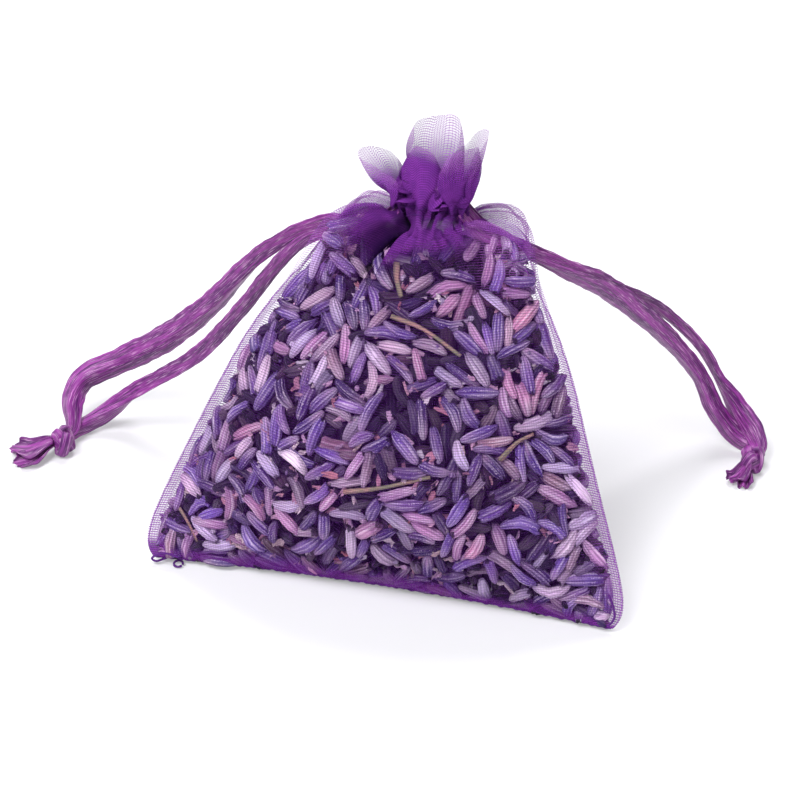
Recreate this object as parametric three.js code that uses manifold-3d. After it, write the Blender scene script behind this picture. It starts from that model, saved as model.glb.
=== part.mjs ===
// Lavender sachet: a small sheer drawstring bag full of dried lavender, which stands and leans back.
// Millimetres, +Z up, the front of the bag towards -Y, the origin in the middle of the base.

import * as THREE from "three";
import { mergeVertices } from "three/addons/utils/BufferGeometryUtils.js";
import Module from "manifold-3d";

const wasm = await Module();
wasm.setup();

// Driving dimensions of the bag
const bagWidth = 68; // across the bottom seam
const bodyLength = 52; // from the bottom seam up to the neck, in the middle plane of the bag
const leanAngle = 22; // degrees that the bag leans back
const shoulderWidth = 28; // across the bag just below the neck, where its straight sides end
const neckWidth = 13; // across the drawn neck
const neckShift = 2.3; // the neck sits this far to the right of the bottom seam's middle
const frontBulge = 11; // from the middle plane to the fullest point of the front
const backBulge = 19; // from the middle plane to the fullest point of the back
const neckSwell = 2.4; // from the middle plane to the cloth at the neck
const emptyMargin = 0.4; // empty cloth between a side seam and the filling
const clothThickness = 0.4;

// Driving dimensions of seams, casing and frill
const seamThickness = 0.6;
const seamWidth = 1;
const seamInset = 0.3; // from the cut edge of the panels to the seam
const sideSeamTop = 0.8; // share of the body length where a side seam runs into the gathers
const stitchThickness = 0.3;
const stitchInset = 0.8; // from the edge of the casing to a row of stitches
const frillHeight = 8.5;
const frillSpread = 4.5; // how far each end of the frill widens
const frillFlare = 6; // how far the frill leans out at its edge
const frillWave = 1.6; // depth of the frill's folds at its edge
const frillFolds = 3;
const frillDip = 1.3; // half of how far the edge dips between folds
const frillEndEase = 0.4; // share of the flare that is lost at the ends
const frillFlarePower = 1.4;

// Driving dimensions of the drawstrings
const ribbonWidth = 5;
const ribbonThickness = 0.35;
const knotLength = 4.4;
const knotThickness = 3.6;
const knotBandWidth = 1.6;
const knotBandRise = 0.35; // how far the crossing band stands out of the knot
const tailLength = 6;
const tailRoot = 2; // width of a tail where it leaves the knot
const exitRun = 2; // straight length of a leg where it leaves the casing
const entryRun = 1.2; // straight length of a leg where it enters a knot

// Driving dimensions of the filling and the loose threads
const budLength = 6.2;
const budDiameter = 1.9;
const budSink = 0.45; // how deep the middle of a loose bud lies under the face of the filling
const budRelief = 1.6; // how far the buds of the filling stand out of the hollows between them
const hollowLimit = 0.4; // share of the filling's depth that a hollow may take where the filling is thin
const stemLength = 10;
const stemDiameter = 1.1;
const fillShare = 0.92; // share of the bag's bulge that the filling takes up
const fillEnds = [0.06, 0.94]; // where the filling starts and ends between bottom seam and neck
const threadDiameter = 0.4;
const threadLoop = 4; // length of the thread loop at the left corner
const threadRing = 1.6; // width of the small thread ring beside it
const threadTail = 5; // length of the thread tail at the right corner

const clearance = 0.3; // between pieces that touch

// Values that follow from the driving dimensions
const lean = THREE.MathUtils.degToRad(leanAngle);
const seamOffset = seamThickness / 2 + clearance;
const sideMargin = seamInset + seamWidth + emptyMargin;
const seamHeight = (seamOffset + clothThickness) * Math.sin(lean) + clothThickness;
const neckY = bodyLength * Math.sin(lean);
const neckZ = seamHeight + bodyLength * Math.cos(lean);
const tunnelDepth = 2 * ribbonThickness + 3 * clearance;
const tunnelHeight = ribbonWidth + 2 * clearance;
const casingDepth = tunnelDepth + 2 * clothThickness;
const casingHeight = tunnelHeight + 2 * clothThickness;
const casingZ = neckZ + clothThickness + clearance + casingHeight / 2;
const frillZ = casingZ + casingHeight / 2 + clearance;
const casingOffset = clearance / 2 + casingDepth / 2;
const outerLane = casingOffset + (clearance + ribbonThickness) / 2;
const innerLane = casingOffset - (clearance + ribbonThickness) / 2;

// Colours
const colour = {
  organza: 0x9d7fb0,
  frill: 0x6a3a86,
  seam: 0x74609a,
  ribbon: 0xa25a9b,
  stitch: 0x8d6aa8,
  lavender: 0x6d6394,
  bud: 0x7f74ad,
  stem: 0x8c8064,
};

// Meshes that belong to the bag, and meshes that belong to its cords
const sachet = new THREE.Group();
const bag = new THREE.Group();
const cords = new THREE.Group();
sachet.add(bag, cords);

function addPiece(group, name, geometry, tint, roughness = 0.8) {
  const finish = new THREE.MeshStandardMaterial({ color: tint, roughness, metalness: 0 });
  const mesh = new THREE.Mesh(geometry, finish);
  mesh.name = name;
  group.add(mesh);
  return mesh;
}

// Closed bodies from points and triangles, turned so that their faces point out
function closedBody(points, triangles) {
  const position = new Float32Array(points.flatMap((point) => [point.x, point.y, point.z]));
  let volume = 0;
  for (const [a, b, c] of triangles) {
    volume += points[a].dot(new THREE.Vector3().crossVectors(points[b], points[c]));
  }
  const index = triangles.flatMap(([a, b, c]) => (volume > 0 ? [a, b, c] : [a, c, b]));
  const geometry = new THREE.BufferGeometry();
  geometry.setAttribute("position", new THREE.BufferAttribute(position, 3));
  geometry.setIndex(index);
  geometry.computeVertexNormals();
  return geometry;
}

// A sheet with a thickness, between two faces that are given over u and v from 0 to 1
function slab(columns, rows, nearFace, farFace) {
  const points = [];
  for (const face of [nearFace, farFace]) {
    for (let row = 0; row <= rows; row += 1) {
      for (let column = 0; column <= columns; column += 1) {
        points.push(face(column / columns, row / rows));
      }
    }
  }
  const far = (columns + 1) * (rows + 1);
  const at = (column, row) => row * (columns + 1) + column;
  const triangles = [];
  const quad = (a, b, c, d) => triangles.push([a, b, c], [a, c, d]);
  for (let row = 0; row < rows; row += 1) {
    for (let column = 0; column < columns; column += 1) {
      const corners = [at(column, row), at(column + 1, row), at(column + 1, row + 1), at(column, row + 1)];
      quad(...corners.map((corner) => corner + far));
      quad(...corners.toReversed());
    }
  }
  const rim = [];
  for (let column = 0; column < columns; column += 1) rim.push(at(column, 0));
  for (let row = 0; row < rows; row += 1) rim.push(at(columns, row));
  for (let column = columns; column > 0; column -= 1) rim.push(at(column, rows));
  for (let row = rows; row > 0; row -= 1) rim.push(at(0, row));
  rim.forEach((corner, place) => {
    const next = rim[(place + 1) % rim.length];
    quad(corner, next, next + far, corner + far);
  });
  return closedBody(points, triangles);
}

// Joining and cutting
function toSolid(geometry) {
  const bare = geometry.clone();
  bare.deleteAttribute("normal");
  bare.deleteAttribute("uv");
  const merged = mergeVertices(bare, 1e-4);
  const triangles = [];
  for (let place = 0; place < merged.index.count; place += 3) {
    const [a, b, c] = [0, 1, 2].map((corner) => merged.index.getX(place + corner));
    if (a !== b && b !== c && c !== a) triangles.push(a, b, c);
  }
  return new wasm.Manifold(new wasm.Mesh({
    numProp: 3,
    vertProperties: new Float32Array(merged.attributes.position.array),
    triVerts: new Uint32Array(triangles),
  }));
}

function toGeometry(solid) {
  const mesh = solid.getMesh();
  const geometry = new THREE.BufferGeometry();
  geometry.setAttribute("position", new THREE.BufferAttribute(new Float32Array(mesh.vertProperties), 3));
  geometry.setIndex(new THREE.BufferAttribute(new Uint32Array(mesh.triVerts), 1));
  geometry.computeVertexNormals();
  return geometry;
}

function largestBody(solid) {
  return solid.decompose().reduce((largest, body) => (body.volume() > largest.volume() ? body : largest));
}

// Shape of the filled bag. s runs from 0 at the bottom seam to 1 at the neck, x across the bag,
// and side is -1 for the front and 1 for the back. The powers set how round each part of the form is.
const shoulderPower = 12;
const marginPower = 8;
const frontRisePower = 0.75;
const backRisePower = 0.6;
const neckSwellPower = 4;
const acrossPowers = [2.2, 0.8];

function halfWidth(s) {
  const straight = (bagWidth + (shoulderWidth - bagWidth) * s) / 2;
  return neckWidth / 2 + (straight - neckWidth / 2) * Math.sqrt(1 - s ** shoulderPower);
}

function filledHalfWidth(s) {
  return halfWidth(s) - sideMargin * (1 - s ** marginPower);
}

function bulge(side, s) {
  const front = frontBulge * Math.sin(Math.PI * s ** frontRisePower);
  const back = backBulge * Math.max(Math.sin(Math.PI * s ** backRisePower), 0) ** backRisePower;
  return (side < 0 ? front : back) + neckSwell * s ** neckSwellPower;
}

function roundness(s, x) {
  const share = Math.min(Math.abs(x) / filledHalfWidth(s), 1);
  return (1 - share ** acrossPowers[0]) ** acrossPowers[1];
}

function bagPoint(s, x, offset) {
  const tilt = lean * (1 - s * s);
  return new THREE.Vector3(
    neckShift * s + x,
    neckY * s + offset * Math.cos(tilt),
    seamHeight + (neckZ - seamHeight) * s - offset * Math.sin(tilt),
  );
}

function aboveGround(point, height) {
  point.z = Math.max(point.z, height);
  return point;
}

function panelPoint(side, s, across) {
  const x = halfWidth(s) * across;
  return bagPoint(s, x, side * (seamOffset + bulge(side, s) * roundness(s, x)));
}

function fillPoint(side, s, across, hollow = 0) {
  const x = filledHalfWidth(s) * across;
  const depth = fillShare * bulge(side, s) * roundness(s, x);
  return bagPoint(s, x, side * (depth - Math.min(hollow, hollowLimit * depth)));
}

// Directions along, across and out of one of the faces above
function faceFrame(face, side, s, across) {
  const step = 0.002;
  const low = (value, least) => Math.max(value - step, least);
  const high = (value) => Math.min(value + step, 1);
  const along = face(side, high(s), across).sub(face(side, low(s, 0), across)).normalize();
  const sideways = face(side, s, high(across)).sub(face(side, s, low(across, -1))).normalize();
  const out = new THREE.Vector3().crossVectors(sideways, along).multiplyScalar(-side).normalize();
  return { along, sideways, out };
}

// Spacing that is close at both ends
const eased = (v) => (1 - Math.cos(Math.PI * v)) / 2;

function panel(side) {
  const inner = (u, v) => panelPoint(side, eased(v), 2 * eased(u) - 1);
  const outer = (u, v) => {
    const { out } = faceFrame(panelPoint, side, eased(v), 2 * eased(u) - 1);
    return aboveGround(inner(u, v).addScaledVector(out, clothThickness), 0);
  };
  return slab(18, 14, (u, v) => aboveGround(inner(u, v), clothThickness), outer);
}

// Seam allowances between the panels
function bottomSeam() {
  const reach = halfWidth(seamWidth / bodyLength) - seamInset - seamWidth - clearance;
  const face = (side) => (u, v) => {
    const s = (v * seamWidth) / bodyLength;
    return bagPoint(s, reach * (2 * u - 1), (side * seamThickness) / 2);
  };
  return slab(8, 1, face(-1), face(1));
}

function sideSeam(hand) {
  const face = (side) => (u, v) => {
    const s = sideSeamTop * v;
    return bagPoint(s, hand * (halfWidth(s) - seamInset - seamWidth * u), (side * seamThickness) / 2);
  };
  return slab(1, 14, face(-1), face(1));
}

// Casing: a flat tunnel across the neck that holds two ribbons
function casing() {
  const outline = (shape, height, depth) => {
    shape.moveTo(-height / 2, -depth / 2);
    shape.lineTo(height / 2, -depth / 2);
    shape.lineTo(height / 2, depth / 2);
    shape.lineTo(-height / 2, depth / 2);
    shape.closePath();
    return shape;
  };
  const section = outline(new THREE.Shape(), casingHeight, casingDepth);
  section.holes.push(outline(new THREE.Path(), tunnelHeight, tunnelDepth));
  const tunnel = new THREE.ExtrudeGeometry(section, { depth: neckWidth, bevelEnabled: false });
  return tunnel.translate(0, 0, -neckWidth / 2).rotateY(Math.PI / 2);
}

function frill(side) {
  const face = (offset) => (u, v) => {
    const across = 2 * u - 1;
    const fold = frillWave * v * Math.cos(frillFolds * Math.PI * across);
    const flare = frillFlare * v ** frillFlarePower * (1 - frillEndEase * across * across);
    const crown = 1 - (frillDip * (1 - Math.cos(frillFolds * Math.PI * across)) * v) / frillHeight;
    return new THREE.Vector3(
      neckShift + across * (neckWidth / 2 + frillSpread * v),
      neckY + side * (casingOffset + offset + flare + fold),
      frillZ + frillHeight * v * crown,
    );
  };
  return slab(18, 5, face(-clothThickness / 2), face(clothThickness / 2));
}

function stitchRow() {
  return new THREE.BoxGeometry(neckWidth - 2 * stitchInset, stitchThickness, stitchThickness);
}

addPiece(bag, "front_panel", panel(-1), colour.organza);
addPiece(bag, "back_panel", panel(1), colour.organza);
addPiece(bag, "bottom_seam", bottomSeam(), colour.seam);
addPiece(bag, "left_side_seam", sideSeam(-1), colour.seam);
addPiece(bag, "right_side_seam", sideSeam(1), colour.seam);

for (const [name, side] of [["front", -1], ["back", 1]]) {
  const tunnel = addPiece(bag, `${name}_casing`, casing(), colour.frill);
  tunnel.position.set(neckShift, neckY + side * casingOffset, casingZ);
  addPiece(bag, `${name}_frill`, frill(side), colour.frill);
  for (const [row, hand] of [["upper", 1], ["lower", -1]]) {
    const stitches = addPiece(bag, `${name}_${row}_stitches`, stitchRow(), colour.stitch);
    const stitchY = neckY + side * (casingOffset + casingDepth / 2 + clearance + stitchThickness / 2);
    stitches.position.set(neckShift, stitchY, casingZ + hand * (casingHeight / 2 - stitchInset));
  }
}

// Drawstrings. A route is a list of points, each with the direction of the ribbon's width there.
class RibbonCurve extends THREE.CatmullRomCurve3 {
  constructor(stations) {
    super(stations.map((station) => station.point), false, "centripetal");
    this.widths = new THREE.CatmullRomCurve3(stations.map((station) => station.width), false, "centripetal");
  }

  computeFrenetFrames(segments) {
    const frames = { tangents: [], normals: [], binormals: [] };
    for (let place = 0; place <= segments; place += 1) {
      const share = place / segments;
      const tangent = this.getTangentAt(share);
      const width = this.widths.getPoint(this.getUtoTmapping(share));
      const normal = width.addScaledVector(tangent, -width.dot(tangent)).normalize();
      frames.tangents.push(tangent);
      frames.normals.push(normal);
      frames.binormals.push(new THREE.Vector3().crossVectors(tangent, normal));
    }
    return frames;
  }
}

function ribbon(stations, steps) {
  const section = new THREE.Shape();
  section.moveTo(-ribbonWidth / 2, -ribbonThickness / 2);
  section.lineTo(ribbonWidth / 2, -ribbonThickness / 2);
  section.lineTo(ribbonWidth / 2, ribbonThickness / 2);
  section.lineTo(-ribbonWidth / 2, ribbonThickness / 2);
  return new THREE.ExtrudeGeometry(section, { steps, extrudePath: new RibbonCurve(stations) });
}

const station = (x, y, z, wx, wy, wz) => ({
  point: new THREE.Vector3(x, y, z),
  width: new THREE.Vector3(wx, wy, wz).normalize(),
});

// Routes of the four legs between the neck and the knots, from the bottom seam's middle on the ground
const routes = {
  left_front: [
    station(-9.5, 19.6, 51, 0.1, 0.2, 1),
    station(-16.5, 22.6, 44, 0.3, 0.3, 0.9),
    station(-28, 27.4, 27.5, 0.4, 0.7, 0.5),
    station(-36.7, 30.2, 16.3, 0.3, 0.9, 0.4),
    station(-46, 32, 8.2, 0.1, 1, 0.2),
    station(-52.6, 30.9, 3, -0.6, 0.9, 0),
  ],
  left_back: [
    station(-9.5, 23.2, 50.6, -0.1, 0.2, 1),
    station(-15, 27.8, 45.4, 0.4, 0.4, 0.8),
    station(-25, 31.6, 36, 0.6, 0.4, 0.7),
    station(-36, 34.2, 22.6, 0.5, 0.6, 0.6),
    station(-44.5, 36, 14.4, 0.3, 0.8, 0.5),
    station(-53.4, 37.4, 8.4, 0.1, 0.9, 0.4),
    station(-59, 34.4, 6.4, -0.7, 0.7, 0.2),
    station(-58.6, 30, 5, -1, 0.1, 0),
  ],
  right_front: [
    station(15.4, 22, 48.4, 0.2, 0.1, 1),
    station(19, 29.4, 40.2, 0.4, 0.4, 0.7),
    station(23.6, 37.6, 33, 0.5, 0.55, 0.65),
    station(30.4, 46, 22, 0.5, 0.55, 0.65),
    station(36.2, 51, 12, 0.6, 0.5, 0.6),
    station(39, 50.8, 6.6, 0.8, 0.4, 0.3),
    station(42.4, 50.6, 2.6, 0.8, 0.6, 0),
  ],
  right_back: [
    station(13.6, 24.6, 48.6, 0.2, 0.1, 1),
    station(17.6, 31.6, 41.4, 0.4, 0.4, 0.7),
    station(22.8, 39.4, 34.4, 0.5, 0.55, 0.65),
    station(30.2, 47.8, 24.4, 0.5, 0.55, 0.65),
    station(36.4, 52.8, 15.8, 0.6, 0.5, 0.6),
    station(42.6, 55.8, 9.8, 0.8, 0.4, 0.3),
    station(45.8, 53.6, 6, 1, 0.2, 0),
  ],
};

const leftKnot = new THREE.Vector3(-56.4, 23.4, 0);
const rightKnot = new THREE.Vector3(45.7, 45.4, 0);
const knotLift = knotThickness / 2 + knotBandRise;
const legSpacing = ribbonThickness + 2 * clearance; // between the two legs where they enter a knot

// The legs come into a knot from behind, one above the other, with their widths level
function knotEntry(knot, level, distance) {
  const y = knot.y + knotLength / 2 + clearance + distance;
  return station(knot.x, y, knotLift + (level * legSpacing) / 2, 1, 0, 0);
}

// The legs leave the casing straight, on edge
function casingExit(hand, y, distance) {
  return station(neckShift + hand * (neckWidth / 2 + clearance + distance), y, casingZ, 0, 0, 1);
}

function knot() {
  const body = new THREE.SphereGeometry(0.5, 12, 8).scale(knotThickness, knotLength, knotThickness);
  const bandRadius = knotThickness / 2 + knotBandRise;
  const half = knotBandWidth / 2;
  const edge = knotThickness / 2;
  const profile = [[0, -half], [edge, -half], [bandRadius, 0], [edge, half], [0, half]];
  const band = new THREE.LatheGeometry(profile.map(([x, y]) => new THREE.Vector2(x, y)), 12);
  return toGeometry(toSolid(body).add(toSolid(band)));
}

// A tail fans out from the knot over the ground
function tail(knotPlace, turn, level) {
  const root = knotLength / 2 + clearance;
  const restHeight = ribbonThickness / 2 + (legSpacing * (level + 1)) / 2;
  const forward = new THREE.Vector3(Math.sin(turn), -Math.cos(turn), 0);
  const sideways = new THREE.Vector3(Math.cos(turn), Math.sin(turn), 0);
  const face = (offset) => (u, v) => {
    const width = tailRoot + (ribbonWidth - tailRoot) * v;
    const height = THREE.MathUtils.lerp(knotLift + (level * legSpacing) / 2, restHeight, v);
    return knotPlace.clone()
      .addScaledVector(forward, root + tailLength * v)
      .addScaledVector(sideways, width * (u - 0.5))
      .setZ(height + offset);
  };
  return slab(2, 4, face(-ribbonThickness / 2), face(ribbonThickness / 2));
}

// Each drawstring: its side, its knot, the turns of its two tails and its lanes in the casings
const hands = [
  { name: "left", hand: -1, knotPlace: leftKnot, turns: [-0.9, -0.2], lanes: [outerLane, innerLane] },
  { name: "right", hand: 1, knotPlace: rightKnot, turns: [-0.1, 0.35], lanes: [innerLane, outerLane] },
];
const legSteps = 36;
const satin = 0.5; // roughness of the ribbon

for (const { name, hand, knotPlace, turns, lanes } of hands) {
  for (const [side, lane, level] of [["front", -lanes[0], -1], ["back", lanes[1], 1]]) {
    const laneY = neckY + lane;
    const run = new THREE.BoxGeometry(neckWidth, ribbonThickness, ribbonWidth);
    const drawn = addPiece(bag, `${name}_ribbon_${side}_run`, run, colour.ribbon, satin);
    drawn.position.set(neckShift, laneY, casingZ);
    const exits = [0, exitRun].map((distance) => casingExit(hand, laneY, distance));
    const entries = [entryRun, 0].map((distance) => knotEntry(knotPlace, level, distance));
    const stations = [...exits, ...routes[`${name}_${side}`], ...entries];
    addPiece(cords, `${name}_ribbon_${side}_leg`, ribbon(stations, legSteps), colour.ribbon, satin);
  }
  addPiece(cords, `${name}_knot`, knot(), colour.ribbon, satin).position.copy(knotPlace).setZ(knotLift);
  addPiece(cords, `${name}_upper_tail`, tail(knotPlace, turns[0], 1), colour.ribbon, satin);
  addPiece(cords, `${name}_lower_tail`, tail(knotPlace, turns[1], -1), colour.ribbon, satin);
}

// Loose overlock threads at the bottom corners
function thread(points, steps) {
  const section = new THREE.Shape().absarc(0, 0, threadDiameter / 2, 0, 2 * Math.PI);
  const path = new THREE.CatmullRomCurve3(points.map(([x, y, z]) => new THREE.Vector3(x, y, z)));
  return new THREE.ExtrudeGeometry(section, { steps, curveSegments: 3, extrudePath: path });
}

const threadZ = seamHeight + threadDiameter;
const cornerX = bagWidth / 2 + clearance + threadDiameter / 2;
const ringRadius = (threadRing - threadDiameter) / 2;
const loopY = -(seamOffset + clothThickness) / Math.cos(lean) - clearance - threadDiameter / 2;

addPiece(bag, "left_thread_loop", thread([
  [-cornerX + threadLoop, loopY, threadZ - 0.2],
  [-cornerX + 0.9 * threadLoop, loopY, threadZ + 0.8],
  [-cornerX + 0.5 * threadLoop, loopY, threadZ + 1.1],
  [-cornerX + 0.1 * threadLoop, loopY, threadZ + 0.5],
  [-cornerX - 0.1 * threadLoop, loopY, threadZ - 0.2],
  [-cornerX + 0.1 * threadLoop, loopY - 0.2, threadZ - 0.6],
  [-cornerX + 0.4 * threadLoop, loopY - 0.3, threadZ - 0.7],
], 20), colour.stitch);

const ringPlaces = [0, 1, 2, 3, 4, 5, 6];
const ringX = -bagWidth / 2 + seamWidth + threadRing;
const ringY = -(seamOffset + clothThickness) / Math.cos(lean) - clearance - threadRing / 2;
addPiece(bag, "left_thread_ring", thread(ringPlaces.map((place) => {
  const angle = (2 * Math.PI * place) / (ringPlaces.length + 1);
  return [ringX + ringRadius * Math.cos(angle), ringY + ringRadius * Math.sin(angle), threadDiameter];
}), 14), colour.stitch);

addPiece(bag, "right_thread_tail", thread([
  [cornerX, 0.2, threadZ],
  [cornerX + 0.15 * threadTail, 0.1, threadZ + 0.3 * threadTail],
  [cornerX + 0.1 * threadTail, 0.3, threadZ + 0.6 * threadTail],
  [cornerX - 0.05 * threadTail, 0.4, threadZ + threadTail],
], 12), colour.stitch);

// Filling: the shape of the bag, with its face in rows of buds, and other buds seated in pockets
function fillCore() {
  const columns = 36;
  const rings = 24;
  const [least, most] = fillEnds;
  const points = [];
  const triangles = [];
  const lowest = 2 * clothThickness;
  for (let ring = 0; ring <= rings; ring += 1) {
    const s = least + (most - least) * (ring / rings);
    for (let place = 0; place < 2 * columns; place += 1) {
      const side = place <= columns ? -1 : 1;
      const across = side < 0 ? (2 * place) / columns - 1 : 3 - (2 * place) / columns;
      const raised = (place + 2 * (ring % 2)) % 4 < 2;
      points.push(aboveGround(fillPoint(side, s, across, raised ? 0 : budRelief), lowest));
    }
  }
  const count = 2 * columns;
  for (let ring = 0; ring < rings; ring += 1) {
    for (let place = 0; place < count; place += 1) {
      const next = (place + 1) % count;
      const [a, b] = [ring * count + place, ring * count + next];
      triangles.push([a, b, b + count], [a, b + count, a + count]);
    }
  }
  for (const [ring, s] of [[0, least], [rings, most]]) {
    const centre = points.push(aboveGround(bagPoint(s, 0, 0), lowest)) - 1;
    for (let place = 0; place < count; place += 1) {
      const [a, b] = [ring * count + place, ring * count + ((place + 1) % count)];
      triangles.push(ring === 0 ? [centre, b, a] : [centre, a, b]);
    }
  }
  return closedBody(points, triangles);
}

function spindle(length, diameter) {
  const profile = [[0, -0.5], [0.34, -0.36], [0.5, 0], [0.4, 0.34], [0, 0.5]];
  const points = profile.map(([x, y]) => new THREE.Vector2(x * diameter, y * length));
  return new THREE.LatheGeometry(points, 6);
}

// A place on the filling, with its long axis turned in the face
function seat(side, s, across, turn, sink) {
  const { along, sideways, out } = faceFrame(fillPoint, side, s, across);
  const axis = along.multiplyScalar(Math.cos(turn)).addScaledVector(sideways, Math.sin(turn)).normalize();
  const place = fillPoint(side, s, across).addScaledVector(out, -sink);
  return new THREE.Matrix4().compose(
    place,
    new THREE.Quaternion().setFromUnitVectors(new THREE.Vector3(0, 1, 0), axis),
    new THREE.Vector3(1, 1, 1),
  );
}

// Loose buds and stems in rows on the front
const turnStep = 2.4; // radians from one bud to the next
const seatRows = [0.22, 0.4, 0.58, 0.75];
const seatColumns = [-0.6, -0.2, 0.2, 0.6];
const stemSeats = [3, 6, 12];
let filling = toSolid(fillCore());
let budCount = 0;
let stemCount = 0;
seatRows.forEach((s, row) => {
  seatColumns.forEach((across, column) => {
    const place = row * seatColumns.length + column;
    const isStem = stemSeats.includes(place);
    const [length, diameter] = isStem ? [stemLength, stemDiameter] : [budLength, budDiameter];
    const where = seat(-1, s, across, place * turnStep, budSink);
    const pocket = spindle(length + 2 * clearance, diameter + 2 * clearance).applyMatrix4(where);
    filling = filling.subtract(toSolid(pocket));
    const name = isStem ? `stem_${(stemCount += 1)}` : `bud_${(budCount += 1)}`;
    const piece = addPiece(bag, name, spindle(length, diameter), isStem ? colour.stem : colour.bud);
    piece.applyMatrix4(where);
  });
});
addPiece(bag, "lavender_fill", toGeometry(largestBody(filling)), colour.lavender, 0.9);

// The origin is the middle of the base of the bag itself, without its cords
const bounds = new THREE.Box3().setFromObject(bag, true);
const middle = bounds.getCenter(new THREE.Vector3());
bag.position.set(-middle.x, -middle.y, -bounds.min.z);
cords.position.copy(bag.position);

export default sachet;
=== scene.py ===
"""Lavender sachet: a sheer drawstring bag full of dried lavender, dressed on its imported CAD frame.

Shapes are worked out in millimetres from the middle of the bottom seam, on the ground, and are moved
into the part's frame, in metres, when they become meshes.
"""

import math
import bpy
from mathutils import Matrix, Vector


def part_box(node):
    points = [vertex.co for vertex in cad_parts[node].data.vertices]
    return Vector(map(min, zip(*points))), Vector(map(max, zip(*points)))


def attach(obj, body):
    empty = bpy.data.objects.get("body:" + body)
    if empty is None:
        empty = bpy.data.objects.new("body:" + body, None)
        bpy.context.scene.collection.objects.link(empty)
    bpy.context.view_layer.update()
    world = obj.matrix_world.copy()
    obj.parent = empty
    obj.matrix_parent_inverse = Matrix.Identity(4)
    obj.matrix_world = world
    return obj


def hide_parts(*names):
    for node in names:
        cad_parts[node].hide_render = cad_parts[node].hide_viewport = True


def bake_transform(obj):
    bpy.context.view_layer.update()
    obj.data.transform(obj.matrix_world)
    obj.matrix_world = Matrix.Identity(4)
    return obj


bl_info = {
    "name": "Lavender sachet",
    "version": (1, 0, 0),
    "blender": (4, 5, 0),
    "location": "3D View > Sidebar > Sachet",
    "description": "Dresses the packed frame of a sheer drawstring bag full of dried lavender",
    "category": "Object",
}

from collections import namedtuple

import bpy
import numpy as np
from mathutils import Vector

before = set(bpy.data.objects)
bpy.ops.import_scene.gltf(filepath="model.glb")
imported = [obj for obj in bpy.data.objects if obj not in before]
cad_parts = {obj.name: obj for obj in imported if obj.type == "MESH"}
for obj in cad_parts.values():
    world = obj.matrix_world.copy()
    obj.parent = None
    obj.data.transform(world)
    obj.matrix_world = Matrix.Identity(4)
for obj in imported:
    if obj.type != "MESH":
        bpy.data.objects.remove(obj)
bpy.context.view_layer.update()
MM = 0.001


def srgb(red, green, blue):
    """A screen colour, 0 to 255, as linear light."""
    share = [value / 255 for value in (red, green, blue)]
    return tuple(c / 12.92 if c <= 0.04045 else ((c + 0.055) / 1.055) ** 2.4 for c in share)


# Sizes and colours

def length(name, description, millimetres):
    return bpy.props.FloatProperty(
        name=name, description=description, default=millimetres * MM, min=0, precision=5, unit="LENGTH")


def angle(name, description, degrees):
    return bpy.props.FloatProperty(
        name=name, description=description, default=math.radians(degrees), subtype="ANGLE")


def colour(name, description, screen):
    return bpy.props.FloatVectorProperty(
        name=name, description=description, default=srgb(*screen), min=0, max=1, subtype="COLOR", size=3)


class SachetCloth(bpy.types.PropertyGroup):
    """The bag and its organza"""

    width: length("Width", "Bag across its bottom seam", 68)
    body_length: length("Body length", "Bottom seam to neck in the middle plane", 52)
    lean: angle("Lean", "How far the bag leans back", 22)
    shoulder: length("Shoulder", "Bag just below the neck, where its straight sides end", 28)
    neck: length("Neck", "Drawn neck, across", 13)
    neck_shift: length("Neck shift", "Neck to the right of the bottom seam's middle", 2.3)
    front_bulge: length("Front bulge", "Middle plane to the fullest point of the front", 11)
    back_bulge: length("Back bulge", "Middle plane to the fullest point of the back", 19)
    neck_swell: length("Neck swell", "Middle plane to the cloth at the neck", 2.4)
    frill_length: length("Frill length", "Cloth from the tie to the frill's edge", 11.6)
    weave: length("Weave", "From one thread of the organza to the next", 0.36)
    sheer: colour("Sheer organza", "One layer of thread", (86, 38, 118))
    gathered: colour("Gathered organza", "Many layers of thread", (144, 62, 176))
    # fold_shade: painted shade for cloth deep in a fold or hollow, with some real depth from its many layers
    fold_shade: colour("Folded organza", "Cloth deep in a fold", (30, 10, 48))
    backlit: colour("Backlit organza", "One layer of thread with light behind it", (152, 88, 172))
    thread: colour("Sewing thread", "Overlock and casing stitches", (80, 34, 106))


class SachetRibbon(bpy.types.PropertyGroup):
    """The drawstrings and their satin"""

    width: length("Width", "Ribbon across", 5)
    thickness: length("Thickness", "Ribbon through", 0.3)
    satin: colour("Satin", "Ribbon in the light", (146, 52, 148))
    shade: colour("Satin shade", "Ribbon between its strands", (78, 18, 90))
    glint: colour("Satin glints", "Flecks of light on its strands", (232, 190, 228))


class SachetLavender(bpy.types.PropertyGroup):
    """The filling"""

    buds: bpy.props.IntProperty(name="Buds", description="Buds in the outer layers", default=2700, min=100)
    seed: bpy.props.IntProperty(name="Seed", description="Start of the packing", default=11)
    bud_length: length("Bud length", "A middling bud", 5.05)
    bud_diameter: length("Bud diameter", "A middling bud", 1.78)
    violet: colour("Violet buds", "The commonest buds", (112, 74, 168))
    deep: colour("Deep buds", "The darkest buds", (74, 40, 128))
    grey: colour("Grey buds", "Faded buds", (210, 178, 228))
    mauve: colour("Mauve buds", "Pinkish buds", (198, 134, 194))
    olive: colour("Olive buds", "Dry green buds", (160, 124, 158))
    petal: colour("Petals", "Crumpled florets", (206, 160, 198))
    stalk: colour("Stalks", "Broken stems", (170, 124, 120))


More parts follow.
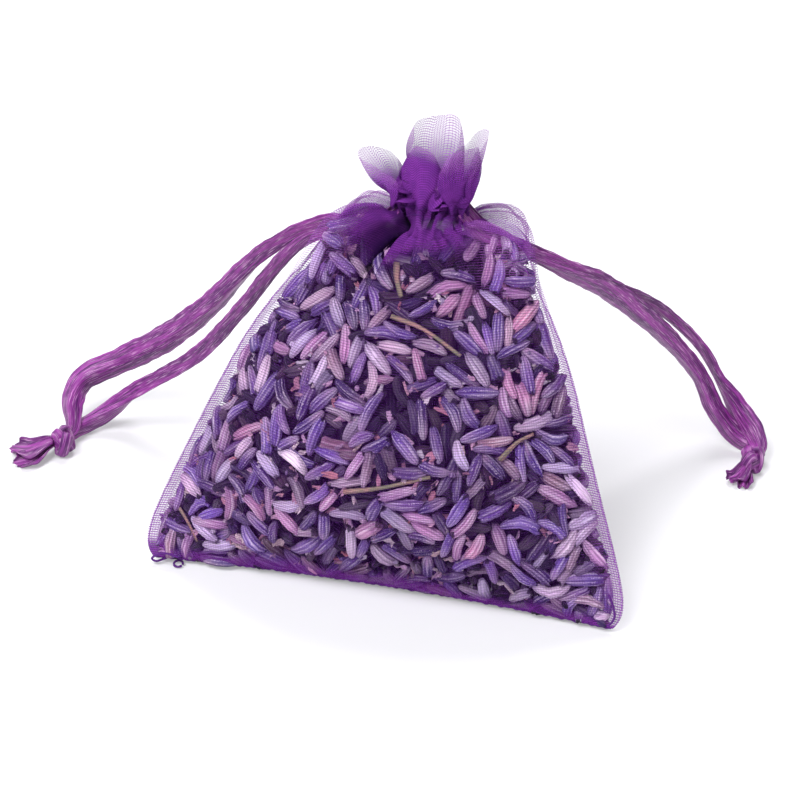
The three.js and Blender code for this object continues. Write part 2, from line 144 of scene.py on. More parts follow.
class SachetStage(bpy.types.PropertyGroup):
    """Camera and ground"""

    azimuth: angle("Azimuth", "Camera to the right of the front", 15.1)
    elevation: angle("Elevation", "Camera above the ground", 32)
    distance: length("Distance", "Camera from its target", 400)
    lens: bpy.props.FloatProperty(name="Lens", description="Focal length in millimetres", default=129)
    target: bpy.props.FloatVectorProperty(
        name="Target", description="Middle of the picture", default=(0.00017, -0.00166, 0.0268), size=3,
        subtype="TRANSLATION", unit="LENGTH")
    ground: colour("Ground", "Pale floor", (244, 244, 246))
    shown: colour("Shown ground", "Floor as the camera sees it, before its glow", (194, 194, 198))


# Shape of the bag

def eased(share):
    """0 to 1, close together at both ends."""
    return (1 - np.cos(np.pi * share)) / 2


def smooth(value, low, high):
    """0 below low, 1 above high, and a smooth step between."""
    share = np.clip((value - low) / (high - low), 0, 1)
    return share * share * (3 - 2 * share)


def xyz(x, y, z):
    """Points from their coordinates."""
    return np.stack(np.broadcast_arrays(x, y, z), -1)


class BagForm:
    """The filled bag. s runs from 0 at the bottom seam to 1 at the neck, x across the bag, and side is
    -1 for the front and 1 for the back. offset is the distance from the leaning middle plane."""

    # Cloth beside the filling, and its distance from the middle plane there
    margin = 1.4
    edge_gap = 0.42
    # How far the sides stand out from straight ones, how far the bottom corners are rounded off, and how far
    # the bottom edge is set back
    belly = 2.9
    corner = 3.2
    bow = 1.8

    def __init__(self):
        cloth = bpy.context.scene.sachet_cloth
        self.width, self.body, self.shoulder = cloth.width / MM, cloth.body_length / MM, cloth.shoulder / MM
        self.neck, self.shift_x, self.swell = cloth.neck / MM, cloth.neck_shift / MM, cloth.neck_swell / MM
        self.front, self.back, self.lean = cloth.front_bulge / MM, cloth.back_bulge / MM, cloth.lean
        self.frill_length = cloth.frill_length / MM
        self.seam_z = math.sin(self.lean) + 0.4
        self.neck_y, self.rise = self.body * math.sin(self.lean), self.body * math.cos(self.lean)
        casing = [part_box(node) for node in ("front_casing", "back_casing")]
        self.casing_z = (casing[0][0].z + casing[0][1].z) / 2 / MM
        middle = [(casing[0][0].x + casing[0][1].x) / 2 / MM, (casing[0][1].y + casing[1][0].y) / 2 / MM]
        self.place = np.array([middle[0] - self.shift_x, middle[1] - self.neck_y, 0])

    def metres(self, points):
        """Points of the bag moved into the part's frame."""
        return (np.asarray(points) + self.place) * MM

    def half_width(self, s):
        """Sides that belly out, with rounded bottom corners, and round off into the neck:
        neck/2 + (side - neck/2) sqrt(1 - s^12), where side is straight + belly - corner exp(-22 s), and the
        belly shrinks to 0.4 of itself from s = 0.6 to 1."""
        side = (self.width + (self.shoulder - self.width) * s) / 2
        side = side + self.belly * (1 - 0.6 * smooth(s, 0.6, 1)) - self.corner * np.exp(-22 * s)
        return self.neck / 2 + (side - self.neck / 2) * np.sqrt(1 - s ** 12)

    def middle_x(self, s):
        """The middle line bends over to the neck: shift s^3."""
        return self.shift_x * s ** 3

    def set_back(self, s, x):
        """The bottom edge bows back between its corners: bow (1 - (2 x / width)^2), gone at s = 0.4."""
        return self.bow * np.maximum(1 - (2 * x / self.width) ** 2, 0) * (1 - smooth(s, 0, 0.4))

    def filled_half_width(self, s):
        """Half width without the margin, which closes at the neck."""
        return self.half_width(s) - self.margin * (1 - s ** 8)

    def bulge(self, side, s):
        """How far the cloth stands off in the middle: sine humps of s^0.75 in front and s^0.6 behind."""
        front = self.front * np.sin(np.pi * s ** 0.75)
        back = self.back * np.maximum(np.sin(np.pi * s ** 0.6), 0) ** 0.6
        return np.where(side < 0, front, back) + self.swell * s ** 4

    def fullness(self, s, x):
        """1 in the middle, 0 at the edge of the filling: (1 - |x / half width|^2.2)^0.8."""
        share = np.minimum(np.abs(x) / self.filled_half_width(s), 1)
        return (1 - share ** 2.2) ** 0.8

    def wall(self, side, s, x):
        """Offset of the cloth from the middle plane."""
        return self.edge_gap + self.bulge(side, s) * self.fullness(s, x)

    def point(self, s, x, offset):
        """A point at s and x, off the middle plane along its normal, which levels out at the neck."""
        tilt = self.lean * (1 - s * s)
        return xyz(
            self.middle_x(s) + x, self.neck_y * s + self.set_back(s, x) + offset * np.cos(tilt),
            self.seam_z + self.rise * s - offset * np.sin(tilt))

    def place_of(self, points):
        """s, x and offset of any points: s is found by repeating its equation along the tilted normal."""
        z = points[..., 2] - self.seam_z
        s = np.clip(z / self.rise, 0, 1)
        for _ in range(6):
            tilt = self.lean * (1 - np.clip(s, 0, 1) ** 2)
            y = points[..., 1] - self.set_back(s, points[..., 0] - self.middle_x(s))
            full = self.neck_y * np.sin(tilt) + self.rise * np.cos(tilt)
            s = np.clip((y * np.sin(tilt) + z * np.cos(tilt)) / full, -0.3, 1.3)
        offset = (y - self.neck_y * s) * np.cos(tilt) - (z - self.rise * s) * np.sin(tilt)
        return s, points[..., 0] - self.middle_x(s), offset

    def room(self, points, top):
        """How far points lie inside the cloth, off the middle plane, and below the top of the filling."""
        s, x, offset = self.place_of(points)
        inside = np.clip(s, 0, 1)
        side = np.where(offset < 0, -1, 1)
        past = np.maximum(np.abs(x) / self.filled_half_width(inside) - 1, 0)
        spare = self.wall(side, inside, x) - np.abs(offset) - 12 * past - 40 * np.abs(s - inside)
        crest = top - 0.02 * np.cos(x * 0.45 + 1) - 0.01 * np.sin(x * 1.1)
        return np.minimum(spare, (crest - s) * self.body)

    def depth(self, points, top):
        """Distance under the cloth and the way in, from the slope of the room."""
        step = 0.05
        room = self.room(points, top)
        slope = np.stack([
            self.room(points + step * np.eye(3)[axis], top) - room for axis in range(3)], -1) / step
        steep = np.linalg.norm(slope, axis=-1, keepdims=True) + 1e-6
        return room / steep[..., 0], slope / steep


# Meshes

def grid_faces(rows, columns, wrap=False):
    """Quads of a grid of points, with the row and column of each corner. wrap joins the last column to the
    first."""
    row = np.arange(rows - 1)[:, None, None] + np.array([0, 0, 1, 1])
    column = np.arange(columns if wrap else columns - 1)[None, :, None] + np.array([0, 1, 1, 0])
    row, column = (part.reshape(-1, 4) for part in np.broadcast_arrays(row, column))
    return row * columns + column % columns, row, column


def make_piece(name, points, blocks, material, maps=None, attributes=None):
    """A smooth mesh from points in metres and blocks of faces with equal corner counts. maps gives U and V at
    each corner, and attributes gives numbers or colours at each point."""
    mesh = bpy.data.meshes.new(name)
    points = np.asarray(points, np.float32).reshape(-1, 3)
    corners = np.concatenate([block.ravel() for block in blocks]).astype(np.int32)
    sizes = np.concatenate([np.full(len(block), block.shape[1]) for block in blocks])
    mesh.vertices.add(len(points))
    mesh.vertices.foreach_set("co", points.ravel())
    mesh.loops.add(len(corners))
    mesh.loops.foreach_set("vertex_index", corners)
    mesh.polygons.add(len(sizes))
    mesh.polygons.foreach_set("loop_start", (np.cumsum(sizes) - sizes).astype(np.int32))
    mesh.update(calc_edges=True)
    mesh.polygons.foreach_set("use_smooth", np.ones(len(sizes), bool))
    if maps is not None:
        layer = mesh.uv_layers.new(name="UVMap")
        layer.data.foreach_set("uv", np.stack(maps, -1).astype(np.float32).ravel())
    for label, values in (attributes or {}).items():
        values = np.asarray(values, np.float32)
        kind, field = ("FLOAT_COLOR", "color") if values.ndim == 2 else ("FLOAT", "value")
        layer = mesh.attributes.new(label, kind, "POINT")
        layer.data.foreach_set(field, values.ravel())
    mesh.materials.append(material)
    piece = bpy.data.objects.new(name, mesh)
    bpy.context.scene.collection.objects.link(piece)
    return piece


def dress(piece, body, slot, *nodes):
    """Puts a piece on a body of the part and in the place of CAD nodes. slot is not used."""
    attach(piece, body)
    if nodes:
        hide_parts(*nodes)


def tube_blocks(rows, sides):
    """Faces and corner maps of a closed tube: a wrapped grid, and a face over each end."""
    quads, row, column = grid_faces(rows, sides, wrap=True)
    ring = np.arange(sides)
    ends = np.stack([ring[::-1], ring + (rows - 1) * sides])
    return ([quads, ends], np.concatenate([row.ravel(), np.repeat([0, rows - 1], sides)]),
            np.concatenate([column.ravel(), ring[::-1], ring]))


def copies(count, size, blocks, maps):
    """Faces and corner maps of many like meshes, each of size points, from those of one."""
    start = (np.arange(count) * size)[:, None, None]
    placed = [(block[None] + start).reshape(-1, block.shape[1]) for block in blocks]
    split = blocks[0].size
    return placed, [np.concatenate([np.tile(part[:split], count), np.tile(part[split:], count)])
                    for part in maps]


def circle(count):
    """Angles spread evenly round a circle."""
    return 2 * np.pi * np.arange(count) / count


def ball(rows, sides, pole):
    """A ball of radius 1 in rows of points, the first and last an angle away from its poles."""
    down = np.linspace(pole, np.pi - pole, rows)[:, None]
    turn = circle(sides)
    return xyz(np.sin(down) * np.cos(turn), np.sin(down) * np.sin(turn), np.cos(down))


def distance_along(path):
    """Distance from the start of a path to each of its points."""
    return np.concatenate([[0], np.cumsum(np.linalg.norm(np.diff(path, axis=0), axis=1))])


def smooth_path(stations, count):
    """A centripetal Catmull-Rom curve through stations, sampled at even distances. Columns after the third
    are carried along with the points."""
    stations = np.asarray(stations, float)
    ends = np.vstack([2 * stations[0] - stations[1], stations, 2 * stations[-1] - stations[-2]])
    knot = np.sqrt(np.linalg.norm(np.diff(ends[:, :3], axis=0), axis=1))[:, None]
    before, span, after = knot[:-2], knot[1:-1], knot[2:]
    p0, p1, p2, p3 = ends[:-3], ends[1:-2], ends[2:-1], ends[3:]
    leave = span * ((p1 - p0) / before - (p2 - p0) / (before + span) + (p2 - p1) / span)
    arrive = span * ((p2 - p1) / span - (p3 - p1) / (span + after) + (p3 - p2) / after)
    u = np.linspace(0, 1, 40, endpoint=False)[:, None, None]
    curve = ((2 * u ** 3 - 3 * u ** 2 + 1) * p1 + (u ** 3 - 2 * u ** 2 + u) * leave
             + (3 * u ** 2 - 2 * u ** 3) * p2 + (u ** 3 - u ** 2) * arrive)
    curve = np.vstack([curve.transpose(1, 0, 2).reshape(-1, stations.shape[1]), stations[-1:]])
    run = distance_along(curve[:, :3])
    even = np.linspace(0, run[-1], count)
    return np.stack([np.interp(even, run, column) for column in curve.T], -1), even


def unit(vectors):
    return vectors / (np.linalg.norm(vectors, axis=-1, keepdims=True) + 1e-12)


def dot(first, second):
    return np.sum(first * second, -1, keepdims=True)


def keep_above(points, height):
    """Raises points that lie below a height to it."""
    points[..., 2] = np.maximum(points[..., 2], height)


def tube(path, radius, sides, up):
    """A round section carried along a path, one ring at each point, turned from a fixed up direction."""
    along = unit(np.gradient(path, axis=0))
    across = unit(np.cross(along, np.broadcast_to(up, along.shape)))
    out = np.cross(across, along)
    turn = circle(sides)[:, None]
    radius = np.broadcast_to(radius, (len(path),))[:, None, None]
    return path[:, None] + radius * (across[:, None] * np.cos(turn) + out[:, None] * np.sin(turn))


def thread_piece(name, path, radius, material, up=(0, 0, 1), sides=6):
    """A round thread along a path in millimetres."""
    blocks, row, column = tube_blocks(len(path), sides)
    return make_piece(name, BagForm().metres(tube(path, radius, sides, up)), blocks, material,
                      (column / sides, distance_along(path)[row] * MM))


# Materials

class Finish:
    """A material and its node tree. Its calls add a node, set or link its inputs, and give its output."""

    def __init__(self, name):
        self.material = bpy.data.materials.new(name)
        self.material.use_nodes = True
        self.tree = self.material.node_tree
        self.surface = self.tree.nodes["Principled BSDF"]

    def add(self, kind, inputs, output=0, **settings):
        node = self.tree.nodes.new("ShaderNode" + kind)
        for key, value in settings.items():
            setattr(node, key, value)
        for key, value in inputs.items():
            self.put(node.inputs[key], value)
        return node.outputs[output]

    def put(self, socket, value):
        if isinstance(value, bpy.types.NodeSocket):
            self.tree.links.new(value, socket)
        elif socket.type == "RGBA" and len(value) == 3:
            socket.default_value = (*value, 1)
        else:
            socket.default_value = value

    def set(self, **inputs):
        for key, value in inputs.items():
            self.put(self.surface.inputs[key.replace("_", " ")], value)

    def math(self, operation, first, second=0.0, third=0.0):
        return self.add("Math", {0: first, 1: second, 2: third}, operation=operation)

    def times(self, first, second):
        return self.math("MULTIPLY", first, second)

    def plus(self, first, second):
        return self.math("ADD", first, second)

    def rest(self, share):
        """1 - share"""
        return self.math("SUBTRACT", 1, share)

    def attribute(self, name, output):
        return self.add("Attribute", {}, output, attribute_name=name)

    def uv(self):
        split = self.add("SeparateXYZ", {0: self.add("TexCoord", {}, "UV")}).node
        return split.outputs[0], split.outputs[1]

    def where(self):
        return self.add("TexCoord", {}, "Object")

    def noise(self, scale, detail=2.0, vector=None, roughness=0.5):
        vector = self.where() if vector is None else vector
        inputs = {"Vector": vector, "Scale": scale, "Detail": detail, "Roughness": roughness}
        return self.add("TexNoise", inputs)

    def step(self, value, low, high, first=0.0, last=1.0):
        inputs = {0: value, 1: low, 2: high, 3: first, 4: last}
        return self.add("MapRange", inputs, interpolation_type="SMOOTHSTEP")

    def mix(self, share, first, last, blend="MIX"):
        return self.add("Mix", {0: share, 6: first, 7: last}, 2, data_type="RGBA", blend_type=blend)

    def bump(self, height, distance, strength=1.0):
        return self.add("Bump", {"Height": height, "Distance": distance, "Strength": strength})


def organza_finish():
    """Sheer plain weave: dark lines of weft and warp on the UV map, which is in metres of flat cloth. Where
    the attribute gather is high, many folds lie behind each other and the cloth closes up, and the gaps in
    its weave show painted fold shade. shade paints fold shade into it, and lit marks single cloth with light
    behind it."""
    cloth = bpy.context.scene.sachet_cloth
    f = Finish("organza")
    u, v = f.uv()
    drift = f.times(f.noise(260, 1), 0.0003)
    lines = []
    for along, thin, full in ((v, 0.10, 0.34), (u, 0.04, 0.24)):
        place = f.math("DIVIDE", f.plus(along, drift), cloth.weave)
        lines.append(f.step(f.math("PINGPONG", place, 0.5), thin / 2, full / 2, 1.0, 0.0))
    open_share = f.times(f.rest(lines[0]), f.math("MULTIPLY_ADD", lines[1], -0.6, 1))
    lit = f.attribute("lit", "Fac")
    woven = f.times(f.rest(open_share), f.math("MULTIPLY_ADD", lit, 0.4, 0.58))
    gather = f.attribute("gather", "Fac")
    patchy = f.times(gather, f.step(f.noise(700, 3), 0.3, 0.7, 0.93, 1.0))
    left_open = f.times(f.rest(woven), f.rest(patchy))
    # Gathered cloth: the open gaps of its weave show painted fold shade
    between = f.mix(f.times(open_share, 0.58), cloth.gathered, cloth.fold_shade)
    tone = f.mix(f.step(f.noise(900, 3), 0.3, 0.7, 0.0, 0.5), between, cloth.sheer)
    single = f.mix(lit, cloth.sheer, cloth.backlit)
    # shade mixes in painted fold shade at the tie and in the hollows of FOLDS
    tint = f.mix(f.attribute("shade", "Fac"), f.mix(f.step(gather, 0.2, 0.6), single, tone), cloth.fold_shade)
    f.set(Base_Color=tint, Alpha=f.rest(left_open), Roughness=0.7, Specular_IOR_Level=0.0,
          Normal=f.bump(f.plus(lines[0], lines[1]), 0.00004, 0.6))
    return f.material


def satin_finish():
    """Satin ribbon: long strands beside each other with glints along them, and cross threads between."""
    ribbon = bpy.context.scene.sachet_ribbon
    f = Finish("satin_ribbon")
    u, v = f.uv()
    place = f.add("CombineXYZ", {0: u, 1: f.times(v, 0.06), 2: 0.0})
    strands = f.noise(3200, 3, place, 0.6)
    folds = f.noise(620, 2, place)
    threads = f.math("PINGPONG", f.math("DIVIDE", v, 0.00022), 0.5)
    light = f.step(f.plus(f.times(strands, 0.6), f.times(folds, 0.4)), 0.39, 0.61)
    height = f.plus(f.plus(strands, folds), f.times(threads, 0.3))
    short = f.add("CombineXYZ", {0: u, 1: f.times(v, 0.05), 2: 0.0})
    glints = f.step(f.noise(6800, 2, short, 0.6), 0.52, 0.74, 0.0, 0.62)
    tint = f.mix(glints, f.mix(light, ribbon.shade, ribbon.satin), ribbon.glint)
    f.set(Base_Color=tint, Roughness=0.42, Specular_IOR_Level=0.4, Sheen_Weight=0.12, Sheen_Roughness=0.3,
          Sheen_Tint=srgb(240, 190, 236), Anisotropic=0.5, Normal=f.bump(height, 0.00014, 0.8))
    return f.material


def thread_finish(name, first, last):
    """Twisted sewing thread: slanted plies on the UV map, in two tones."""
    f = Finish(name)
    u, v = f.uv()
    plies = f.math("PINGPONG", f.plus(f.times(u, 2), f.math("DIVIDE", v, 0.0005)), 0.5)
    f.set(Base_Color=f.mix(plies, first, last), Roughness=0.7, Specular_IOR_Level=0.1,
          Normal=f.bump(plies, 0.00008, 0.8))
    return f.material


def bud_finish():
    """Dried bud: ribs round it and a gradient along it on its UV map, tinted by the bud's own colour, flecked
    with pale hairs on its ribs that also serve as painted highlights, and darkened by painted shade in the
    grooves between ribs and in its open mouth. The alpha of that colour is low on buds that lie deep and in
    shade, which paints them dark."""
    f = Finish("dried_bud")
    u, v = f.uv()
    tint = f.attribute("tint", "Color")
    turn = f.times(u, 2 * math.pi)
    ring = f.add("CombineXYZ", {0: f.math("COSINE", turn), 1: f.math("SINE", turn),
                                2: f.math("MULTIPLY_ADD", v, 0.35, f.attribute("lot", "Fac"))})
    fibre = f.noise(2.6, 4, ring, 0.65)
    wave = f.math("SINE", f.math("MULTIPLY_ADD", fibre, 7, f.times(u, 18 * math.pi)))
    rib = f.math("MULTIPLY_ADD", wave, 0.5, 0.5)
    speck = f.noise(3000, 3)
    blotch = f.noise(420, 2)
    faded_share = f.math("PINGPONG", f.times(f.attribute("lot", "Fac"), 1.7), 1)
    pale = f.mix(0.9, tint, f.mix(0.7, tint, srgb(246, 222, 250), "SCREEN"))
    light = f.times(f.step(fibre, 0.44, 0.62), f.step(rib, 0.2, 0.8, 0.4, 1.0))
    body = f.mix(f.times(light, f.step(speck, 0.3, 0.7, 0.5, 1.0)), tint, pale)
    ashen = f.mix(f.step(f.noise(2.0, 1, ring), 0.35, 0.65), srgb(220, 196, 226), srgb(206, 160, 204))
    faded = f.mix(0.74, tint, ashen)
    spent = f.times(f.step(f.math("MULTIPLY_ADD", fibre, 0.5, v), 0.35, 0.85, 1.0, 0.0), faded_share)
    foot = f.mix(spent, body, faded)
    tip = f.mix(f.step(v, 0.6, 0.95, 0.0, 0.5), foot, f.mix(0.6, tint, srgb(58, 26, 118)))
    # Pale hairs on the rib crests, which also serve as painted highlights
    flecks = f.step(f.noise(4600, 2, roughness=0.7), 0.54, 0.66, 0.0, 0.7)
    hair_and_highlight = f.times(flecks, f.step(rib, 0.35, 0.75))
    haired_and_highlighted = f.mix(hair_and_highlight, tip, srgb(236, 212, 242))
    groove = f.times(f.step(rib, 0.0, 0.45, 1.0, 0.0), f.step(fibre, 0.3, 0.6, 0.9, 0.3))
    shaded = f.mix(groove, haired_and_highlighted, f.mix(0.35, srgb(14, 5, 34), tint))
    # Painted shade inside the bud's open mouth
    mouth = f.mix(f.step(v, 0.97, 0.995, 0.0, 0.85), shaded, srgb(16, 6, 32))
    blotched = f.mix(f.step(blotch, 0.45, 0.8, 0.0, 0.25), mouth, f.mix(0.5, tint, srgb(224, 164, 206)))
    final = f.mix(f.attribute("tint", "Alpha"), srgb(13, 4, 24), blotched)
    height = f.plus(f.times(rib, 0.6), f.plus(f.times(speck, 0.4), fibre))
    f.set(Base_Color=final, Roughness=0.6, Specular_IOR_Level=0.2, Sheen_Weight=0.06, Sheen_Roughness=0.4,
          Sheen_Tint=srgb(226, 200, 240), Normal=f.bump(height, 0.00026, 1.0))
    return f.material


def core_finish():
    """The shaded inside of the filling: dark violet with brown crumbs."""
    f = Finish("shaded_filling")
    crumbs = f.noise(900, 4)
    tint = f.mix(f.step(crumbs, 0.35, 0.65), srgb(14, 6, 28), srgb(44, 28, 66))
    f.set(Base_Color=tint, Roughness=0.9, Normal=f.bump(crumbs, 0.0006, 0.8))
    return f.material


def petal_finish():
    """Crumpled floret: tinted by its own colour, with veins along it."""
    f = Finish("dried_petal")
    u = f.uv()[0]
    veins = f.math("PINGPONG", f.times(u, 5), 0.5)
    tint = f.attribute("tint", "Color")
    f.set(Base_Color=f.mix(f.times(veins, 0.9), f.mix(0.45, tint, srgb(120, 60, 120)), tint),
          Roughness=0.7, Sheen_Weight=0.3, Normal=f.bump(f.plus(veins, f.noise(2400, 2)), 0.0001, 0.7))
    return f.material


def stalk_finish():
    """Dry square stalk: lengthwise grooves, darkened with painted shade, and brown to green patches."""
    lavender = bpy.context.scene.sachet_lavender
    f = Finish("dry_stalk")
    u = f.uv()[0]
    groove = f.math("PINGPONG", f.times(u, 4), 0.5)
    patch = f.noise(500, 3)
    tint = f.mix(f.step(patch, 0.35, 0.68), lavender.stalk, srgb(122, 118, 92))
    # Painted shade along the grooves
    f.set(Base_Color=f.mix(f.step(groove, 0.0, 0.3, 0.6, 0.0), tint, srgb(70, 56, 62)), Roughness=0.75,
          Normal=f.bump(f.plus(groove, patch), 0.0002, 0.8))
    return f.material


# Stage

class SACHET_OT_stage(bpy.types.Operator):
    """Camera at the photograph's angle, pale ground and soft studio light"""

    bl_idname = "sachet.stage"
    bl_label = "Stage"

    def execute(self, context):
        stage = context.scene.sachet_stage
        a, e = stage.azimuth, stage.elevation
        back = Vector((math.sin(a) * math.cos(e), -math.cos(a) * math.cos(e), math.sin(e)))
        data = bpy.data.cameras.new("camera")
        data.lens, data.sensor_width, data.clip_start = stage.lens, 36, 0.01
        camera = bpy.data.objects.new("camera", data)
        camera.location = Vector(stage.target) + back * stage.distance
        camera.rotation_euler = (-back).to_track_quat("-Z", "Y").to_euler()
        context.scene.collection.objects.link(camera)
        context.scene.camera = camera
        context.scene.view_settings.view_transform = "Standard"
        self.ground(stage)
        self.lights(context)
        return {"FINISHED"}

    def ground(self, stage):
        """A flat square of floor. A camera sees it darker, with a glow that makes it white and grows with
        the distance, so that shadows on it stay faint and what is sheer still shows against it."""
        half, count = 1.5, 5
        reach = np.linspace(-half, half, count)
        points = xyz(reach[None, :], reach[:, None], 0.0)
        f = Finish("pale_ground")
        seen = f.add("LightPath", {}).node.outputs
        mirrored = f.plus(seen["Is Camera Ray"], seen["Is Glossy Ray"])
        watched = f.math("MINIMUM", f.plus(mirrored, seen["Is Transmission Ray"]), 1)
        grain = f.noise(90, 2)
        far = f.add("VectorMath", {0: f.where()}, "Value", operation="LENGTH")
        pale = f.mix(f.times(grain, 0.08), stage.ground, srgb(236, 236, 240))
        glow = f.times(watched, f.step(far, 0.15, 0.9, 0.29, 0.9))
        f.set(Base_Color=f.mix(watched, pale, stage.shown), Roughness=0.9, Specular_IOR_Level=0,
              Emission_Color=(1, 1, 1), Emission_Strength=glow)
        floor = make_piece("floor", points, [grid_faces(count, count)[0]], f.material)

    def lights(self, context):
        """Three large lamps and an even sky. The camera sees the sky as white."""
        aim = Vector((0, 0, 0.02))
        for name, place, size, power in (
                ("key_lamp", (-0.3, -0.45, 0.85), 0.55, 11.0),
                ("fill_lamp", (0.7, -0.4, 0.5), 0.5, 2.0),
                ("top_lamp", (-0.05, 0.5, 0.85), 0.4, 7.0)):
            data = bpy.data.lights.new(name, "AREA")
            data.shape, data.size, data.energy = "DISK", size, power
            lamp = bpy.data.objects.new(name, data)
            lamp.location = place
            lamp.rotation_euler = (aim - Vector(place)).to_track_quat("-Z", "Y").to_euler()
            context.scene.collection.objects.link(lamp)
        world = bpy.data.worlds.new("studio")
        context.scene.world = world
        world.use_nodes = True
        tree = world.node_tree
        sky = tree.nodes["Background"]
        path = tree.nodes.new("ShaderNodeLightPath")
        seen = tree.nodes.new("ShaderNodeMapRange")
        seen.inputs["To Min"].default_value, seen.inputs["To Max"].default_value = 0.24, 1.0
        tree.links.new(path.outputs["Is Camera Ray"], seen.inputs["Value"])
        tree.links.new(seen.outputs[0], sky.inputs["Strength"])
        sky.inputs["Color"].default_value = (1, 1, 1, 1)


# Drawstrings

# Points of each leg, with the turn of the ribbon's width about the path in degrees: 0 is edge on to the
# front, and 90 is flat to it
ROUTES = {
    "left_front": [
        (-9, 20.2, 47.4, 46), (-16.5, 22.6, 43.2, 26), (-28, 27.4, 27.5, 14), (-36.7, 30.2, 16.3, 10),
        (-46, 32, 8.2, 36), (-52.6, 30.9, 3, 90)],
    "left_back": [
        (-9, 23.2, 46, 54), (-15, 27.8, 43, 58), (-25, 31.6, 35.4, 34), (-36, 34.2, 22.6, 72),
        (-44.5, 36, 14.4, 84), (-52, 37.2, 8.8, 80), (-57, 34.4, 6.6, 90), (-57.4, 30, 5, 104)],
    "right_front": [
        (13, 22.5, 46.2, 122), (19, 29.4, 39.8, 116), (23.6, 37.6, 33, 112), (30.4, 46, 22, 116),
        (36.2, 51, 12, 106), (39, 50.8, 6.6, 100), (42.4, 50.6, 2.6, 108)],
    "right_back": [
        (12.6, 24.4, 45.6, 140), (18.5, 31.4, 39.4, 170), (23, 39.8, 32.6, 180), (29.7, 48.6, 24.4, 178),
        (35.6, 53.6, 15.6, 178), (38.6, 54.4, 10, 170), (41.8, 52.8, 6.2, 140)],
}
# The way that a ribbon's edge faces, the knots, and how far each leg leaves the casing from its middle
FRONT = np.array([-0.22, 0.82, -0.53])
KNOTS = {"left": (-56.4, 23.4, 2.15), "right": (45.7, 45.4, 2.15)}
LANES = {"left_front": -1.675, "left_back": 1.025, "right_front": -1.025, "right_back": 1.675}
# Headings of the tails and their sizes, and the angles of the folds along the legs, in radians
TAIL_TURNS = {"left_upper": -1.25, "left_lower": -0.9, "right_upper": -0.5, "right_lower": -0.2}
TAIL_SIZES = {"left": 1.05, "right": 0.6}
LEG_FOLDS = {"left_front": 1.1, "left_back": 0.7, "right_front": 0.85, "right_back": 0.5}


